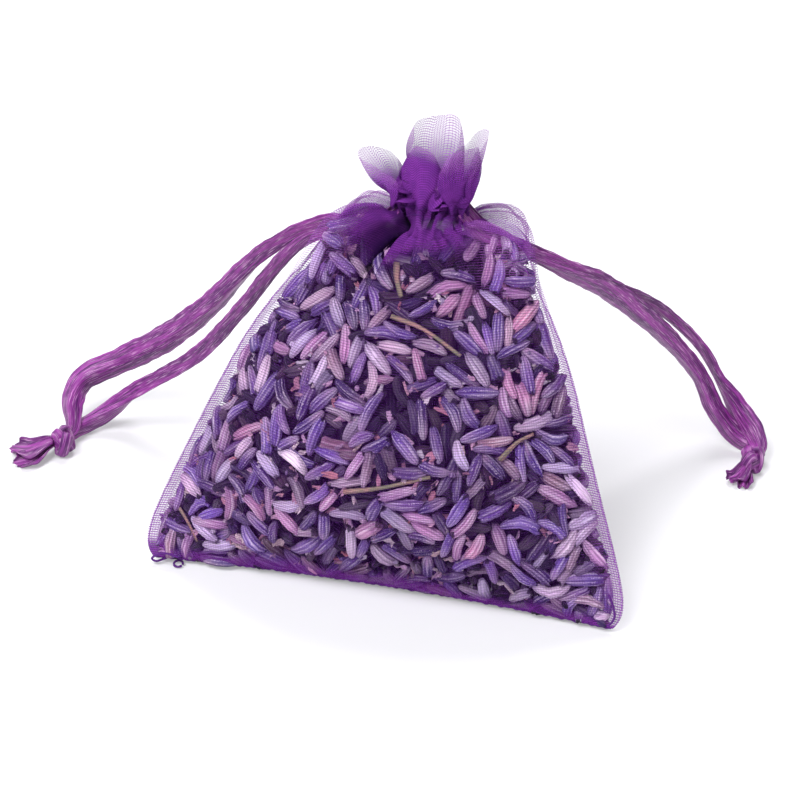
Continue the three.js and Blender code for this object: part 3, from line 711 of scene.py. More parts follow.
class SACHET_OT_ribbons(bpy.types.Operator):
    """Two satin drawstrings: four legs from the neck, their knots and tails, and the runs in the neck"""

    bl_idname = "sachet.ribbons"
    bl_label = "Drawstrings"

    rows = 180
    across = 15
    # Legs above or below the middle of their knot, and the size of a knot
    step = 0.475
    knot_size = 1.2

    def execute(self, context):
        self.form, self.satin = BagForm(), satin_finish()
        self.width = context.scene.sachet_ribbon.width / MM
        self.thickness = context.scene.sachet_ribbon.thickness / MM
        for hand in ("left", "right"):
            ends = [self.knot(hand), self.tail(hand, "upper"), self.tail(hand, "lower")]
            self.leg(hand, "front", ends)
            self.leg(hand, "back", [])
        for side in ("front", "back"):
            self.run(side)
        return {"FINISHED"}

    def stations(self, hand, side):
        """The route with its straight ends: out of the casing on edge, and level into the knot. The fourth
        column is the turn of the width, in radians."""
        form, sign = self.form, -1 if hand == "left" else 1
        lane = form.neck_y + LANES[f"{hand}_{side}"]
        knot = KNOTS[hand]
        level = knot[2] + (self.step if side == "back" else -self.step)
        upright = 57 if hand == "left" else 123
        leave = [(form.shift_x + sign * reach, lane, form.casing_z - drop, upright)
                 for reach, drop in ((4.2, 0.3), (7, 3.2))]
        enter = [(knot[0], knot[1] + reach, level, 112) for reach in (3.7, 1.0)]
        route = np.array([*leave, *ROUTES[f"{hand}_{side}"], *enter])
        return np.column_stack([route[:, :3], np.radians(route[:, 3])])

    def leg(self, hand, side, ends):
        """A thin closed section along the route, creased along its middle like a shallow V whose angle
        changes on the way. The half width draws in at both ends, and long creases lift the section off its
        plane."""
        path, run = smooth_path(self.stations(hand, side), self.rows)
        points, turn = path[:, :3], path[:, 3:]
        along = unit(np.gradient(points, axis=0))
        edge = unit(FRONT - along * dot(FRONT, along))
        widths = edge * np.cos(turn) + np.cross(along, edge) * np.sin(turn)
        out = np.cross(along, widths)
        left = run[-1] - run
        pinch = 0.6 * np.exp(-(run / 20) ** 2) + 0.4 * np.exp(-(left / 4) ** 2)
        ripple = 1 + 0.03 * np.sin(run * 0.9 + len(side)) + 0.02 * np.sin(run * 2.3)
        half = self.width / 2 * (1 - pinch) * ripple
        b = np.linspace(-1, 1, self.across)
        phase = run[:, None] * 0.13 + 1.7 * (side == "back") + (hand == "left")
        crease = (0.07 + 0.5 * pinch[:, None]) * np.sin(5.2 * b + 1.3 * np.sin(phase))
        crease = crease + 0.05 * np.sin(11 * b + phase * 2)
        fold = LEG_FOLDS[f"{hand}_{side}"] + 0.15 * np.sin(phase)
        crease = crease - half[:, None] * np.sin(fold) * (np.sqrt(b * b + 0.02) - 0.5)
        spread = b * np.cos(fold)
        rim = self.thickness / 2 * (1 - 0.75 * np.abs(b) ** 6)
        faces = [points[:, None] + widths[:, None] * (half[:, None] * spread)[..., None]
                 + out[:, None] * (crease + sign * rim)[..., None] for sign in (1, -1)]
        loop = np.concatenate([faces[0], faces[1][:, ::-1]], 1)
        blocks, row, column = tube_blocks(self.rows, 2 * self.across)
        column = column % (2 * self.across)
        share = np.where(column < self.across, column, 2 * self.across - 1 - column) / (self.across - 1)
        place = self.form.metres(points)
        piece = make_piece(f"{hand}_{side}_ribbon", self.form.metres(loop), blocks, self.satin,
                           (share * self.width * MM, run[row] * MM))
        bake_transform(piece)
        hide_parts(f"{hand}_ribbon_{side}_leg")

    def knot(self, hand):
        """A ribbon section wound on a trefoil, (sin t + 2 sin 2t, cos t - 2 cos 2t, -1.35 sin 3t), drawn
        tight round a filled middle."""
        turns, sides = 160, 12
        t = np.linspace(0, 2 * np.pi, turns, endpoint=False)
        twist = 0.5 if hand == "left" else -0.4
        flat = xyz(np.sin(t) + 2 * np.sin(2 * t), np.cos(t) - 2 * np.cos(2 * t), -1.35 * np.sin(3 * t))
        middle = flat * np.array([0.36, 0.52, 0.9])
        along = unit(np.roll(middle, -1, 0) - np.roll(middle, 1, 0))
        out = unit(middle * np.array([1, 0.7, 1]))
        out = unit(out - along * dot(out, along))
        wide = np.cross(along, out)
        v = circle(sides)[:, None]
        swell = 1 + 0.1 * np.sin(3 * t + 1)
        section = (wide[:, None] * (0.78 * np.cos(v))
                   + out[:, None] * (0.42 * np.sin(v) + 0.06 * np.cos(5 * v)))
        ring = middle[:, None] + section * swell[:, None, None]
        quads, row, column = grid_faces(turns + 1, sides, wrap=True)
        quads = quads % (turns * sides)
        core_rows, core_sides = 9, 14
        core = ball(core_rows, core_sides, 0.05)[..., [0, 2, 1]] * np.array([1.25, 1.7, 1.2])
        core_blocks, core_row, core_column = tube_blocks(core_rows, core_sides)
        points = np.concatenate([ring.reshape(-1, 3), core.reshape(-1, 3)])
        c, s = math.cos(twist), math.sin(twist)
        points = self.knot_size * points @ np.array([[c, s, 0], [-s, c, 0], [0, 0, 1]])
        keep_above(points, 0.06 - KNOTS[hand][2])
        blocks = [quads, *[block + turns * sides for block in core_blocks]]
        u = np.concatenate([column.ravel() / sides * 3, core_column / core_sides * 3]) * MM
        run = np.concatenate([row.ravel() * 24 / turns, core_row * 0.4]) * MM
        piece = make_piece(
            f"{hand}_ribbon_knot", self.form.metres(points + KNOTS[hand]), blocks, self.satin, (u, run))
        dress(piece, f"{hand}_drawstring", "ribbon", f"{hand}_knot")
        return piece

    def tail(self, hand, level):
        """A fan from the knot to the ground: width grows from root to end, with creases along it and a ragged
        end."""
        rows, columns = 30, 25
        knot = np.array(KNOTS[hand])
        turn = TAIL_TURNS[f"{hand}_{level}"]
        raised = 1 if level == "upper" else -1
        forward = np.array([math.sin(turn), -math.cos(turn), 0])
        sideways = np.array([math.cos(turn), math.sin(turn), 0])
        v, b = np.linspace(0, 1, rows)[:, None], np.linspace(-1, 1, columns)
        ragged = 1 + 0.03 * np.sin(11 * b + raised) + 0.03 * np.sin(29 * b + 2) - 0.22 * b * b
        reach = 1.4 + 6.2 * TAIL_SIZES[hand] * v * (1 + (ragged - 1) * v)
        wide = 0.8 + (2.2 * TAIL_SIZES[hand] - 0.6) * np.sin(2.2 * v)
        rest = 0.35 + 0.5 * (raised + 1) / 2
        height = (knot[2] + 0.4 * raised) * (1 - smooth(v, 0, 0.75)) + rest * smooth(v, 0, 0.75)
        crease = (0.24 + 0.16 * v) * np.cos(7.5 * b + raised + 0.6 * np.sin(3 * v))
        lift = 0.5 * v ** 2 * np.abs(b) ** 1.5
        height = np.maximum(height + crease + lift, 0.12)
        bend = 0.5 * np.sin(2.2 * v + raised)
        points = (knot * np.array([1, 1, 0]) + forward * reach[..., None]
                  + sideways * (b * wide + bend)[..., None] + np.array([0, 0, 1]) * height[..., None])
        quads, row, column = grid_faces(rows, columns)
        piece = make_piece(f"{hand}_{level}_ribbon_tail", self.form.metres(points), [quads], self.satin,
                           (column / (columns - 1) * self.width * MM, row / (rows - 1) * 0.006))
        wall = piece.modifiers.new("thickness", "SOLIDIFY")
        wall.thickness, wall.offset = 0.12 * MM, 0
        dress(piece, f"{hand}_drawstring", "ribbon", f"{hand}_{level}_tail")
        return piece

    def run(self, side):
        """The ribbon inside a casing, drawn up into the same pleats as the cloth."""
        form, sign = self.form, -1 if side == "front" else 1
        rows, columns = 7, 181
        a = np.linspace(-1, 1, columns)
        h = np.linspace(-1, 1, rows)[:, None]
        x = form.shift_x + TIE[0] * 0.94 * np.sin(a * np.pi / 2)
        pleats = 0.4 * np.sin(pleat_phase(a, sign)) * (1 - a ** 8)
        y = form.neck_y + sign * (TIE[1] * 0.6 * np.cos(a * np.pi / 2) + 0.12 + pleats)
        z = form.casing_z - 0.3 + h + 0.12 * np.sin(3 * a)
        points = xyz(x, y, z)
        quads, row, column = grid_faces(rows, columns)
        quads = quads if sign < 0 else quads[:, ::-1]
        piece = make_piece(f"{side}_ribbon_run", form.metres(points), [quads], self.satin,
                           (row / (rows - 1) * self.width * MM, column / (columns - 1) * 0.04))
        dress(piece, f"{side}_mouth", "ribbon", f"left_ribbon_{side}_run", f"right_ribbon_{side}_run")


# Cloth

# Gathers across the neck, and half the tie across and through
PLEATS = 9
TIE = (5.0, 2.3)

# Ridges and valleys of the frill: degrees round the tie from the front, and degrees that the cloth leans out
# there
PETALS = [(-180, 28), (-130, -18), (-98, 38), (-58, -14), (-12, -4), (26, -20), (56, 12), (80, -6), (108, 13),
          (150, -18), (180, 28)]

# Broad folds under the tie: the side, their middle and reach across the cloth, where they start and end up
# the cloth, their push, how much closer the cloth is there, and how much painted shade it gets there
Fold = namedtuple("Fold", "side middle reach start end push closer darker")
FOLDS = [Fold(*row) for row in (
    (-1, -0.80, 0.22, 0.80, 0.985, (-2.4, -2.2, 5.0), -0.75, 0.0),
    (-1, 0.76, 0.25, 0.80, 0.985, (2.6, -1.8, 4.4), -0.62, 0.0),
    (-1, 0.14, 0.30, 0.84, 1.03, (0.0, -3.2, 2.0), 0.1, 0.0),
    (-1, 0.10, 0.12, 0.92, 1.05, (0.0, 0.8, -1.2), 0.2, 0.4),
    (-1, -0.66, 0.09, 0.80, 1.03, (-0.4, -0.6, 1.6), 0.3, 0.2),
    (-1, -0.46, 0.12, 0.80, 1.03, (0.8, 1.6, -1.0), 0.6, 1.3),
    (-1, 0.50, 0.09, 0.86, 1.04, (0.0, 1.2, 0.0), 0.3, 0.1),
    (1, -0.66, 0.26, 0.82, 0.985, (-3.0, 2.4, 2.4), -0.75, 0.0),
    (1, 0.66, 0.3, 0.82, 0.985, (3.0, 2.4, 2.6), -0.8, 0.0),
    (1, -0.06, 0.20, 0.84, 1.0, (0.0, 2.0, 2.0), 0.2, 0.0),
    (1, 0.27, 0.10, 0.86, 1.04, (0.0, -1.2, 0.0), 0.4, 0.5),
    (1, -0.36, 0.10, 0.86, 1.04, (0.0, -1.4, 0.0), 0.4, 0.6),
)]


def pleat_phase(a, side):
    """Phase of the gathers across the neck, a from -1 to 1, a little uneven."""
    return np.pi * PLEATS * (a + 0.035 * np.sin(4.1 * a + 0.6 + side) + 0.02 * np.sin(9.7 * a + 1.3 * side))


def bump_at(a, middle, reach):
    """1 at the middle and almost nothing at twice the reach: exp(-((a - middle) / reach)^2)."""
    return np.exp(-((a - middle) / reach) ** 2)


def fold_weight(a, up, fold):
    """Share of a fold's push at a across and up along the cloth."""
    risen = smooth(up, fold.start, fold.start + 0.16)
    return bump_at(a, fold.middle, fold.reach) * risen * (1 - smooth(up, fold.end, fold.end + 0.065))


def petal_lean(heading):
    """How far the frill leans out, in radians, at a heading round the tie, whether that is a ridge, 1, or a
    valley, 0, and how far it fans to the side, from -1 to 1: cosine steps between the ridges and valleys in
    PETALS, and a sine between them."""
    place, lean = np.radians(PETALS).T
    step = np.clip(np.searchsorted(place, heading, "right") - 1, 0, len(place) - 2)
    share = (heading - place[step]) / (place[step + 1] - place[step])
    fan = np.where(step % 2 == 0, 1, -1) * np.sin(np.pi * share)
    share = eased(share)
    return lean[step] + (lean[step + 1] - lean[step]) * share, np.where(step % 2 == 0, 1 - share, share), fan


def cloth_looks(a, up, ridge, front, side):
    """Numbers that the weave reads, at a across and up along the cloth. gather: high from just under the tie
    into the frill, in its valleys and along the bottom. shade: at the tie. lit: in the frill and beside the
    filling. FOLDS then change all three. ridge is 1 on the frill's ridges, and front is 1 at its front."""
    start = 0.935 + 0.04 * smooth(a, -0.35, 0) - 0.02 * bump_at(a, -0.45, 0.2) - (0.05 if side > 0 else 0)
    gather = 0.92 * smooth(up, start - 0.03, start + 0.05)
    gather = gather * (1 - smooth(up, 1.25 + 0.5 * front, 2.05 + 0.1 * front))
    gather = gather + 0.16 * smooth(up, 1.1, 1.3)
    gather = gather + 0.35 * (1 - ridge) * smooth(up, 1.05, 1.2) * (1 - smooth(up, 1.5, 2.1))
    strip = 0.045 + 0.022 * np.cos(2.2 * a + 0.4) + 0.012 * np.sin(11 * a) + 0.008 * np.sin(31 * a)
    gather = gather + 0.62 * (1 - smooth(up, strip * 0.3, strip * 1.1))
    shade = 0.25 * smooth(up, 1.0, 1.07) * (1 - smooth(up, 1.09, 1.25)) + 0 * a
    margin = smooth(np.abs(a), 0.88, 0.97) * (1 - smooth(up, 0.85, 0.98))
    lit = 0.85 * smooth(up, 1.05, 1.4) + 0.7 * margin
    gather = gather + 0.05 * lit + 0.14 * margin
    for fold in FOLDS:
        if fold.side == side:
            weight = fold_weight(a, up, fold)
            gather = gather + weight * fold.closer
            lit = lit + weight * max(-2 * fold.closer, 0)
            shade = shade + weight * fold.darker
    return {"gather": np.clip(gather, 0, 0.985).ravel(), "shade": np.clip(shade, 0, 1).ravel(),
            "lit": np.clip(lit, 0, 1).ravel()}


def cloth_grid(form, side):
    """One side of the bag from bottom seam to frill. Body: the bag's wall. Neck: an ellipse drawn in up to
    the tie. Frill: every strip leaves the tie upright and leans out by petal_lean. Then the puffs, flaps and
    hollows in FOLDS, and fine gathers along the normal, deepest at the tie. Gives points, outward directions,
    the numbers that the weave reads, and the row of the tie."""
    columns, body_rows, neck_rows, frill_rows = 261, 110, 20, 48
    a = np.linspace(-1, 1, columns)
    heading = a * np.pi / 2 if side < 0 else np.where(a < 0, -np.pi, np.pi) - a * np.pi / 2
    s = eased(np.linspace(0, 1, body_rows))[:, None]
    x = form.half_width(s) * a
    rim = 0.1 + (form.edge_gap - 0.1) * (1 - a ** 8)
    drape = 0.3 * smooth(s, 0.5, 0.9) * (1 + np.sin(pleat_phase(a, side) / 2.2 + 2.2 * s))
    drape = drape + 0.1 * (1 + np.sin(6 * a + 5 * s + side) * np.sin(7 * s + 2 * a))
    wall = rim + (form.bulge(side, s) + drape * (1 - s ** 10)) * form.fullness(s, x)
    body = form.point(s, x, side * wall)
    k = np.linspace(0, 1, neck_rows)[1:, None]
    tie = xyz(form.shift_x + TIE[0] * np.sin(heading),
              form.neck_y - TIE[1] * np.cos(heading) + 0.1 * side, form.casing_z)
    share = smooth(k, 0, 1)[..., None] * np.array([1, 1, 0]) + k[..., None] * np.array([0, 0, 1])
    neck = body[-1] + (tie - body[-1]) * share
    h = np.linspace(0, 1, frill_rows)[1:, None]
    lean, ridge, fan = petal_lean(heading)
    lean = lean * (1.75 - 0.95 * h) * smooth(h, -0.4, 0.45)
    fan = 0.8 * fan * smooth(h, -0.2, 0.4) * (1 - 1.8 * smooth(h, 0.3, 1))
    front = bump_at(heading, -0.2, 0.75)
    reach = form.frill_length * (0.46 + 0.54 * smooth(ridge, 0.2, 1) - 0.18 * front)
    reach = reach + 0.2 * np.sin(17 * heading) - 3 * bump_at(heading, -1.7, 0.5)
    reach = reach / (frill_rows - 1)
    way = xyz(np.sin(lean) * np.sin(heading) + fan * np.cos(heading),
              fan * np.sin(heading) - np.sin(lean) * np.cos(heading), np.cos(lean))
    frill = tie + np.cumsum(reach[..., None] * unit(way), 0)
    points = np.concatenate([body, neck, frill])
    up = np.concatenate([s, 1 + 0.08 * k, 1.08 + h])
    for fold in FOLDS:
        if fold.side == side:
            points = points + fold_weight(a, up, fold)[..., None] * np.array(fold.push)
    out = -side * unit(np.cross(np.gradient(points, axis=1), np.gradient(points, axis=0)))
    phase, ends = pleat_phase(a, side), 1 - a ** 14
    depth = 0.5 * smooth(up, 1.0, 1.07) * (1 - smooth(up, 1.1, 1.6)) * np.sin(phase)
    valleys = 2.3 * (1 - ridge) ** 1.2 * smooth(up, 1.1, 1.4) * (1 - 0.4 * smooth(up, 1.6, 2.1))
    depth = depth + valleys * np.sin(1.3 * phase)
    fine = 0.34 * (1 + 0.6 * np.sin(7.3 * a + 2 * side)) * (1 - 0.7 * bump_at(a, 0.14, 0.3))
    fine = fine * smooth(up, 0.5, 0.95) * (1 - smooth(up, 1.0, 1.05))
    depth = depth + fine * (1 + np.sin(2.1 * phase + 2.5 * np.sin(3 * up + 4 * a)))
    points = points + out * (depth * ends)[..., None]
    keep_above(points, 0.05)
    return points, out, cloth_looks(a, up, ridge, front, side), body_rows + neck_rows - 2


class SACHET_OT_cloth(bpy.types.Operator):
    """Front and back of the bag in sheer organza, each one sheet up to its frill, with stitches and seams"""

    bl_idname = "sachet.cloth"
    bl_label = "Cloth"

    # The flat cloth, in metres, whose width the map spans, and two heights in metres that are not used
    flat = (0.068, 0.076)
    bend = (0.0455, 0.0515)

    def execute(self, context):
        cloth = context.scene.sachet_cloth
        self.form, self.organza = BagForm(), organza_finish()
        self.thread = thread_finish("sewing_thread", cloth.sheer, cloth.thread)
        self.edging = thread_finish("edge_thread", cloth.gathered, cloth.backlit)
        sheets = {side: self.sheet(side) for side in ("front", "back")}
        hems = [self.hem(hand) for hand in ("bottom", "left", "right")]
        trim = {"front": [], "back": hems + self.loose_threads()}
        return {"FINISHED"}

    def sheet(self, side):
        """One side of the bag, mapped along its threads, and the two rows of stitches beside its tie."""
        sign = -1 if side == "front" else 1
        points, out, looks, tie_row = cloth_grid(self.form, sign)
        rows, columns = points.shape[:2]
        quads, row, column = grid_faces(rows, columns)
        quads, row, column = (part if sign < 0 else part[:, ::-1] for part in (quads, row, column))
        run = np.cumsum(np.linalg.norm(np.diff(points, axis=0, prepend=points[:1]), axis=-1), 0)
        piece = make_piece(f"{side}_cloth", self.form.metres(points), [quads], self.organza,
                           (column / (columns - 1) * self.flat[0], run[row, column] * MM), looks)
        x, y, _ = self.form.metres([self.form.shift_x, self.form.neck_y, 0])
        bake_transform(piece)
        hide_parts(f"{side}_panel", f"{side}_casing", f"{side}_frill")
        stitches = []
        for level, at in (("lower", tie_row - 3), ("upper", tie_row + 3)):
            path = points[at] + 0.1 * out[at]
            seam = thread_piece(f"{side}_{level}_casing_stitches", path, 0.07, self.thread, sides=5)
            dress(seam, f"{side}_mouth", "thread", f"{side}_{level}_stitches")
            stitches.append(seam)
        return piece, stitches

    def hem(self, hand):
        """A rolled overlock edge between the two sheets: a thread tube that swells at every stitch."""
        form = self.form
        if hand == "bottom":
            x = np.linspace(-1, 1, 420) * (form.half_width(0.0) - 0.3)
            path, radius = form.point(0 * x, x, 0 * x), 0.22
        else:
            s = np.linspace(0, 0.93, 380)
            sign = -1 if hand == "left" else 1
            path, radius = form.point(s, sign * (form.half_width(s) - 0.25), 0 * s), 0.06
        run = distance_along(path)
        path = path + 0.05 * xyz(np.sin(run * 1.7), np.sin(run * 2.3), np.cos(run * 2.9))
        swell = radius * (1 + 0.22 * np.sin(run * 2 * np.pi / 1.1))
        name = "bottom_seam" if hand == "bottom" else f"{hand}_side_seam"
        thread = self.thread if hand == "bottom" else self.edging
        piece = thread_piece(f"{hand}_overlock", path, swell, thread, up=(0.1, 1, 0.2), sides=7)
        dress(piece, "bag", "seam", name)
        return piece

    def loose_threads(self):
        """Overlock threads left long at the bottom corners: a loop and a ring on the left, a tail on the
        right."""
        z, corner, front = self.form.seam_z + 0.4, self.form.width / 2 - 0.9, -0.95
        turn = np.linspace(0, 2 * np.pi * 0.93, 40)
        ring = xyz(-29.8 + 0.65 * np.cos(turn), -0.4 + 0.65 * np.sin(turn), 0.42 + 0.1 * np.sin(turn))
        routes = {
            "left_thread_loop": [
                (-corner + 3.7, 0.1, z - 0.3), (-corner + 3.3, front, z + 0.8),
                (-corner + 1.7, front, z + 1.1), (-corner + 0.1, front, z + 0.5),
                (-corner - 0.5, front, z - 0.2), (-corner + 0.1, front, z - 0.5),
                (-corner + 1.3, 0, z - 0.4)],
            "left_thread_ring": ring,
            "right_thread_tail": [
                (corner - 0.8, 0.1, z - 0.1), (corner, 0.2, z), (corner + 0.75, 0.1, z + 1.5),
                (corner + 0.5, 0.3, z + 3), (corner - 0.25, 0.4, z + 5)],
        }
        pieces = []
        for name, stations in routes.items():
            path = smooth_path(stations, 70)[0]
            piece = thread_piece(f"{name}_loose", path, 0.17, self.thread, up=(0.2, 0.5, 0.8))
            dress(piece, "bag", "thread", name)
            pieces.append(piece)
        return pieces


# Filling

def close_pairs(points, reach):
    """Pairs of points that may be nearer than reach: points are sorted by cubic cell, and each cell is
    matched with itself and 13 of its neighbours, so that every pair comes once."""
    cells = np.floor((points - points.min(0)) / reach).astype(np.int64) + 1
    span = cells.max(0) + 2
    keys = (cells[:, 0] * span[1] + cells[:, 1]) * span[2] + cells[:, 2]
    order = np.argsort(keys, kind="stable")
    keys = keys[order]
    near = [-1, 0, 1]
    steps = np.array(np.meshgrid(near, near, near, indexing="ij")).reshape(3, -1).T[13:]
    firsts, seconds = [], []
    for step in steps:
        wanted = keys + (step[0] * span[1] + step[1]) * span[2] + step[2]
        low = np.searchsorted(keys, wanted, "left") if step.any() else np.arange(len(keys)) + 1
        count = np.maximum(np.searchsorted(keys, wanted, "right") - low, 0)
        firsts.append(np.repeat(np.arange(len(keys)), count))
        before = np.repeat(np.cumsum(count) - count, count)
        seconds.append(np.arange(count.sum()) - before + np.repeat(low, count))
    return order[np.concatenate(firsts)], order[np.concatenate(seconds)]


class SACHET_OT_lavender(bpy.types.Operator):
    """The filling: ribbed buds pressed against the cloth, florets, seeds and stalks, round a shaded middle"""

    bl_idname = "sachet.lavender"
    bl_label = "Lavender"

    # s at the top of the filling, and the thickness of the layers of buds
    top = 0.97
    shell = 5.9
    # The four balls of a bud in the packing: their places along it and their shares of its radius
    places = np.array([-1, -0.33, 0.33, 1])
    tapers = np.array([0.72, 1, 1, 0.78])
    # Turns of the packing, and the one after which pushes are smaller
    turns = 90
    calm = 75
    # A stem's radius in the packing, the radii of the stems, and how many florets and seeds there are
    stem_room = 0.62
    stem_radii = (0.55, 0.42, 0.3, 0.4, 0.36)
    floret_count = 640
    seed_count = 130

    def execute(self, context):
        self.form, self.plan = BagForm(), context.scene.sachet_lavender
        self.random = np.random.default_rng(self.plan.seed)
        stalks = self.stalk_paths()
        self.pack(np.concatenate(stalks))
        self.core()
        self.buds()
        self.petals()
        self.seeds()
        self.stalks(stalks)
        return {"FINISHED"}

    def scatter(self, count, low, high):
        """Random points under the cloth, between two depths, as many for each area of cloth."""
        form, random = self.form, self.random
        s = random.uniform(0.02, self.top, 8 * count)
        wide = form.filled_half_width(s) / form.filled_half_width(np.zeros(1))
        s = s[random.uniform(0, 1, s.size) < wide]
        side = random.choice([-1, 1], s.size, p=[0.46, 0.54])
        x = random.uniform(-0.98, 0.98, s.size) * form.filled_half_width(s)
        wall = form.wall(side, s, x)
        offset = side * np.maximum(wall - random.uniform(low, high, s.size), 0.05 * wall)
        points = form.point(s, x, offset)
        points = points[points[:, 2] > 1.2]
        return points[:count]

    def stalk_paths(self):
        """Broken stems that lie against the front cloth: s and share of the half width at points along
        each."""
        lines = [
            [(0.93, -0.24), (0.89, -0.17), (0.85, -0.08)], [(0.80, -0.11), (0.78, 0.14), (0.72, 0.42)],
            [(0.15, -0.93), (0.11, -0.86), (0.06, -0.81)], [(0.31, -0.14), (0.34, 0.04), (0.39, 0.28)],
            [(0.45, 0.62), (0.50, 0.72), (0.52, 0.80)]]
        paths = []
        for stations in lines:
            s, a = np.array(stations).T
            x = a * self.form.filled_half_width(s)
            paths.append(smooth_path(self.form.point(s, x, -(self.form.wall(-1, s, x) - 0.85)), 14)[0])
        return paths

    def pack(self, fixed):
        """Pushes the buds apart, and off the fixed points of the stems. Each bud is a row of four balls.
        Overlapping balls move apart, balls near the cloth or the ground move in, and the mean push and its
        lever move and turn the bud. At the end the buds follow the cloth into its puffs."""
        form, random, count = self.form, self.random, self.plan.buds
        centre = self.scatter(count, 1, self.shell)
        count = len(centre)
        size = np.clip(random.normal(1, 0.12, count), 0.72, 1.3)
        self.length = size * self.plan.bud_length / MM
        stout = np.clip(random.normal(1, 0.1, count), 0.8, 1.25)
        self.radius = self.plan.bud_diameter / MM / 2 * stout * np.sqrt(size)
        inward = form.depth(centre, self.top)[1]
        axis = random.normal(0, 1, (count, 3))
        axis = unit(axis - 0.85 * inward * dot(axis, inward))
        reach = (self.length / 2 - 0.75 * self.radius)[:, None] * self.places
        girth = (self.radius[:, None] * self.tapers).ravel()
        every = np.concatenate([girth, np.full(len(fixed), self.stem_room)])
        owner = np.concatenate([np.repeat(np.arange(count), 4), np.full(len(fixed), -1)])
        for turn in range(self.turns):
            balls = (centre[:, None] + axis[:, None] * reach[..., None]).reshape(-1, 3)
            spots = np.concatenate([balls, fixed])
            i, j = close_pairs(spots, 2 * every.max())
            gap = spots[i] - spots[j]
            apart = np.linalg.norm(gap, axis=1) + 1e-9
            overlap = every[i] + every[j] - apart
            keep = (overlap > 0) & (owner[i] != owner[j])
            i, j, push = i[keep], j[keep], (gap / apart[:, None] * overlap[:, None] * 0.5)[keep]
            shift = np.stack([
                np.bincount(i, push[:, k], len(spots)) - np.bincount(j, push[:, k], len(spots))
                for k in range(3)], -1)[:len(balls)]
            depth, inward = form.depth(balls, self.top)
            shift *= 0.7 if turn < self.calm else 0.3
            shift += inward * np.maximum(girth + 0.25 - depth, 0)[:, None]
            shift -= inward * np.maximum(depth - self.shell, 0)[:, None] * 0.1
            shift[:, 2] += np.maximum(girth + 0.3 - balls[:, 2], 0)
            shift = shift.reshape(count, 4, 3)
            centre = centre + 0.8 * shift.mean(1)
            lever = np.sum(shift * reach[..., None], 1) / np.sum(reach ** 2, 1)[:, None]
            axis = unit(axis + 0.8 * (lever - axis * dot(lever, axis)))
        s, x, offset = form.place_of(centre)
        a = x / form.half_width(np.clip(s, 0, 1))
        for fold in FOLDS:
            puffed = (fold.closer < 0) & (offset * fold.side > 0)
            centre = centre + 0.6 * (fold_weight(a, s, fold) * puffed)[:, None] * np.array(fold.push)
        self.centre, self.axis = centre, axis

    def core(self):
        """The shaded middle: the bag's bulge less 4 mm on 0.86 of its width, closed at both ends."""
        form, rows, columns = self.form, 22, 24
        s = np.linspace(0.08, 0.86, rows)[:, None]
        a = np.linspace(-1, 1, columns + 1)
        rings = []
        for side, across in ((-1, a[:-1]), (1, a[:0:-1])):
            x = 0.86 * form.filled_half_width(s) * across
            bulge = form.bulge(side, s) * (1 - np.abs(across) ** 2.2) ** 0.8 - 4
            rings.append(form.point(s, x, side * np.maximum(bulge, 0.02)))
        points = np.concatenate(rings, 1)
        keep_above(points, 1.4)
        blocks = tube_blocks(rows, 2 * columns)[0]
        piece = make_piece("lavender_middle", form.metres(points), blocks, core_finish())
        dress(piece, "bag", "dried_lavender", "lavender_fill")

    def tints(self, count, families):
        """A colour for each piece: a family by its share, made a little lighter or darker and warmer or
        colder."""
        shares = np.array([share for share, _ in families])
        family = self.random.choice(len(families), count, p=shares / shares.sum())
        base = np.array([tint for _, tint in families])[family]
        light = np.clip(self.random.normal(1, 0.2, (count, 1)), 0.55, 1.6)
        warm = np.clip(self.random.normal(0, 0.09, (count, 1)), -0.05, 0.2) * np.array([1, 0, -1])
        return np.clip(base * light * (1 + warm), 0, 1)

    def buds(self):
        """A spindle of seven rings and ten sides for each bud: ribs on every other side, a slight bend, and a
        mouth that is more open on some."""
        plan, random, count = self.plan, self.random, len(self.centre)
        t = np.array([0, 0.06, 0.22, 0.5, 0.76, 0.93, 1])
        profile = np.array([0.27, 0.55, 0.86, 1, 0.94, 0.78, 0.52])
        rings, sides = len(t), 10
        mouth = random.uniform(0.5, 1.4, count)[:, None] ** (np.arange(rings) >= rings - 2)
        radius = self.radius[:, None] * profile * mouth
        turn = circle(sides) + random.uniform(0, 2 * np.pi, (count, 1))
        rib = 1 - 0.13 * (np.arange(sides) % 2)
        across = unit(np.cross(self.axis, random.normal(0, 1, (count, 3))))
        other = np.cross(self.axis, across)
        bend = random.normal(0, 0.42, count)[:, None] * np.sin(np.pi * t)
        line = (self.centre[:, None] + self.axis[:, None] * (self.length[:, None] * (t - 0.5))[..., None]
                + across[:, None] * bend[..., None])
        ring = (across[:, None, None] * np.cos(turn)[:, None, :, None]
                + other[:, None, None] * np.sin(turn)[:, None, :, None])
        ragged = random.normal(0, 0.26, (count, 1, sides)) * np.array([0, 0, 0, 0, 0, 0.4, 1])[:, None]
        points = (line[:, :, None] + ring * (radius[:, :, None] * rib)[..., None]
                  + self.axis[:, None, None] * ragged[..., None])
        keep_above(points, 0.12 + 0.75 * (1 - smooth(points[..., 1], 0.5, 3)))
        families = [
            (0.42, plan.violet), (0.2, plan.deep), (0.17, plan.grey), (0.17, plan.mauve), (0.08, plan.olive)]
        lightness = 1 - 0.92 * smooth(self.form.depth(self.centre, self.top)[0], 1.1, 2.1)
        tints = np.column_stack([self.tints(count, families), lightness])
        lot = random.uniform(0, 60, count)
        blocks, row, column = tube_blocks(rings, sides)
        back, left = self.form.place_of(self.centre)[2] >= 0, self.centre[:, 0] < 0
        groups = {"front": ~back, "back_left": back & left, "back_right": back & ~left}
        finish = bud_finish()
        solids = [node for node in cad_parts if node.startswith("bud_")]
        for side, chosen in groups.items():
            placed, maps = copies(int(chosen.sum()), rings * sides, blocks, (column / sides, t[row]))
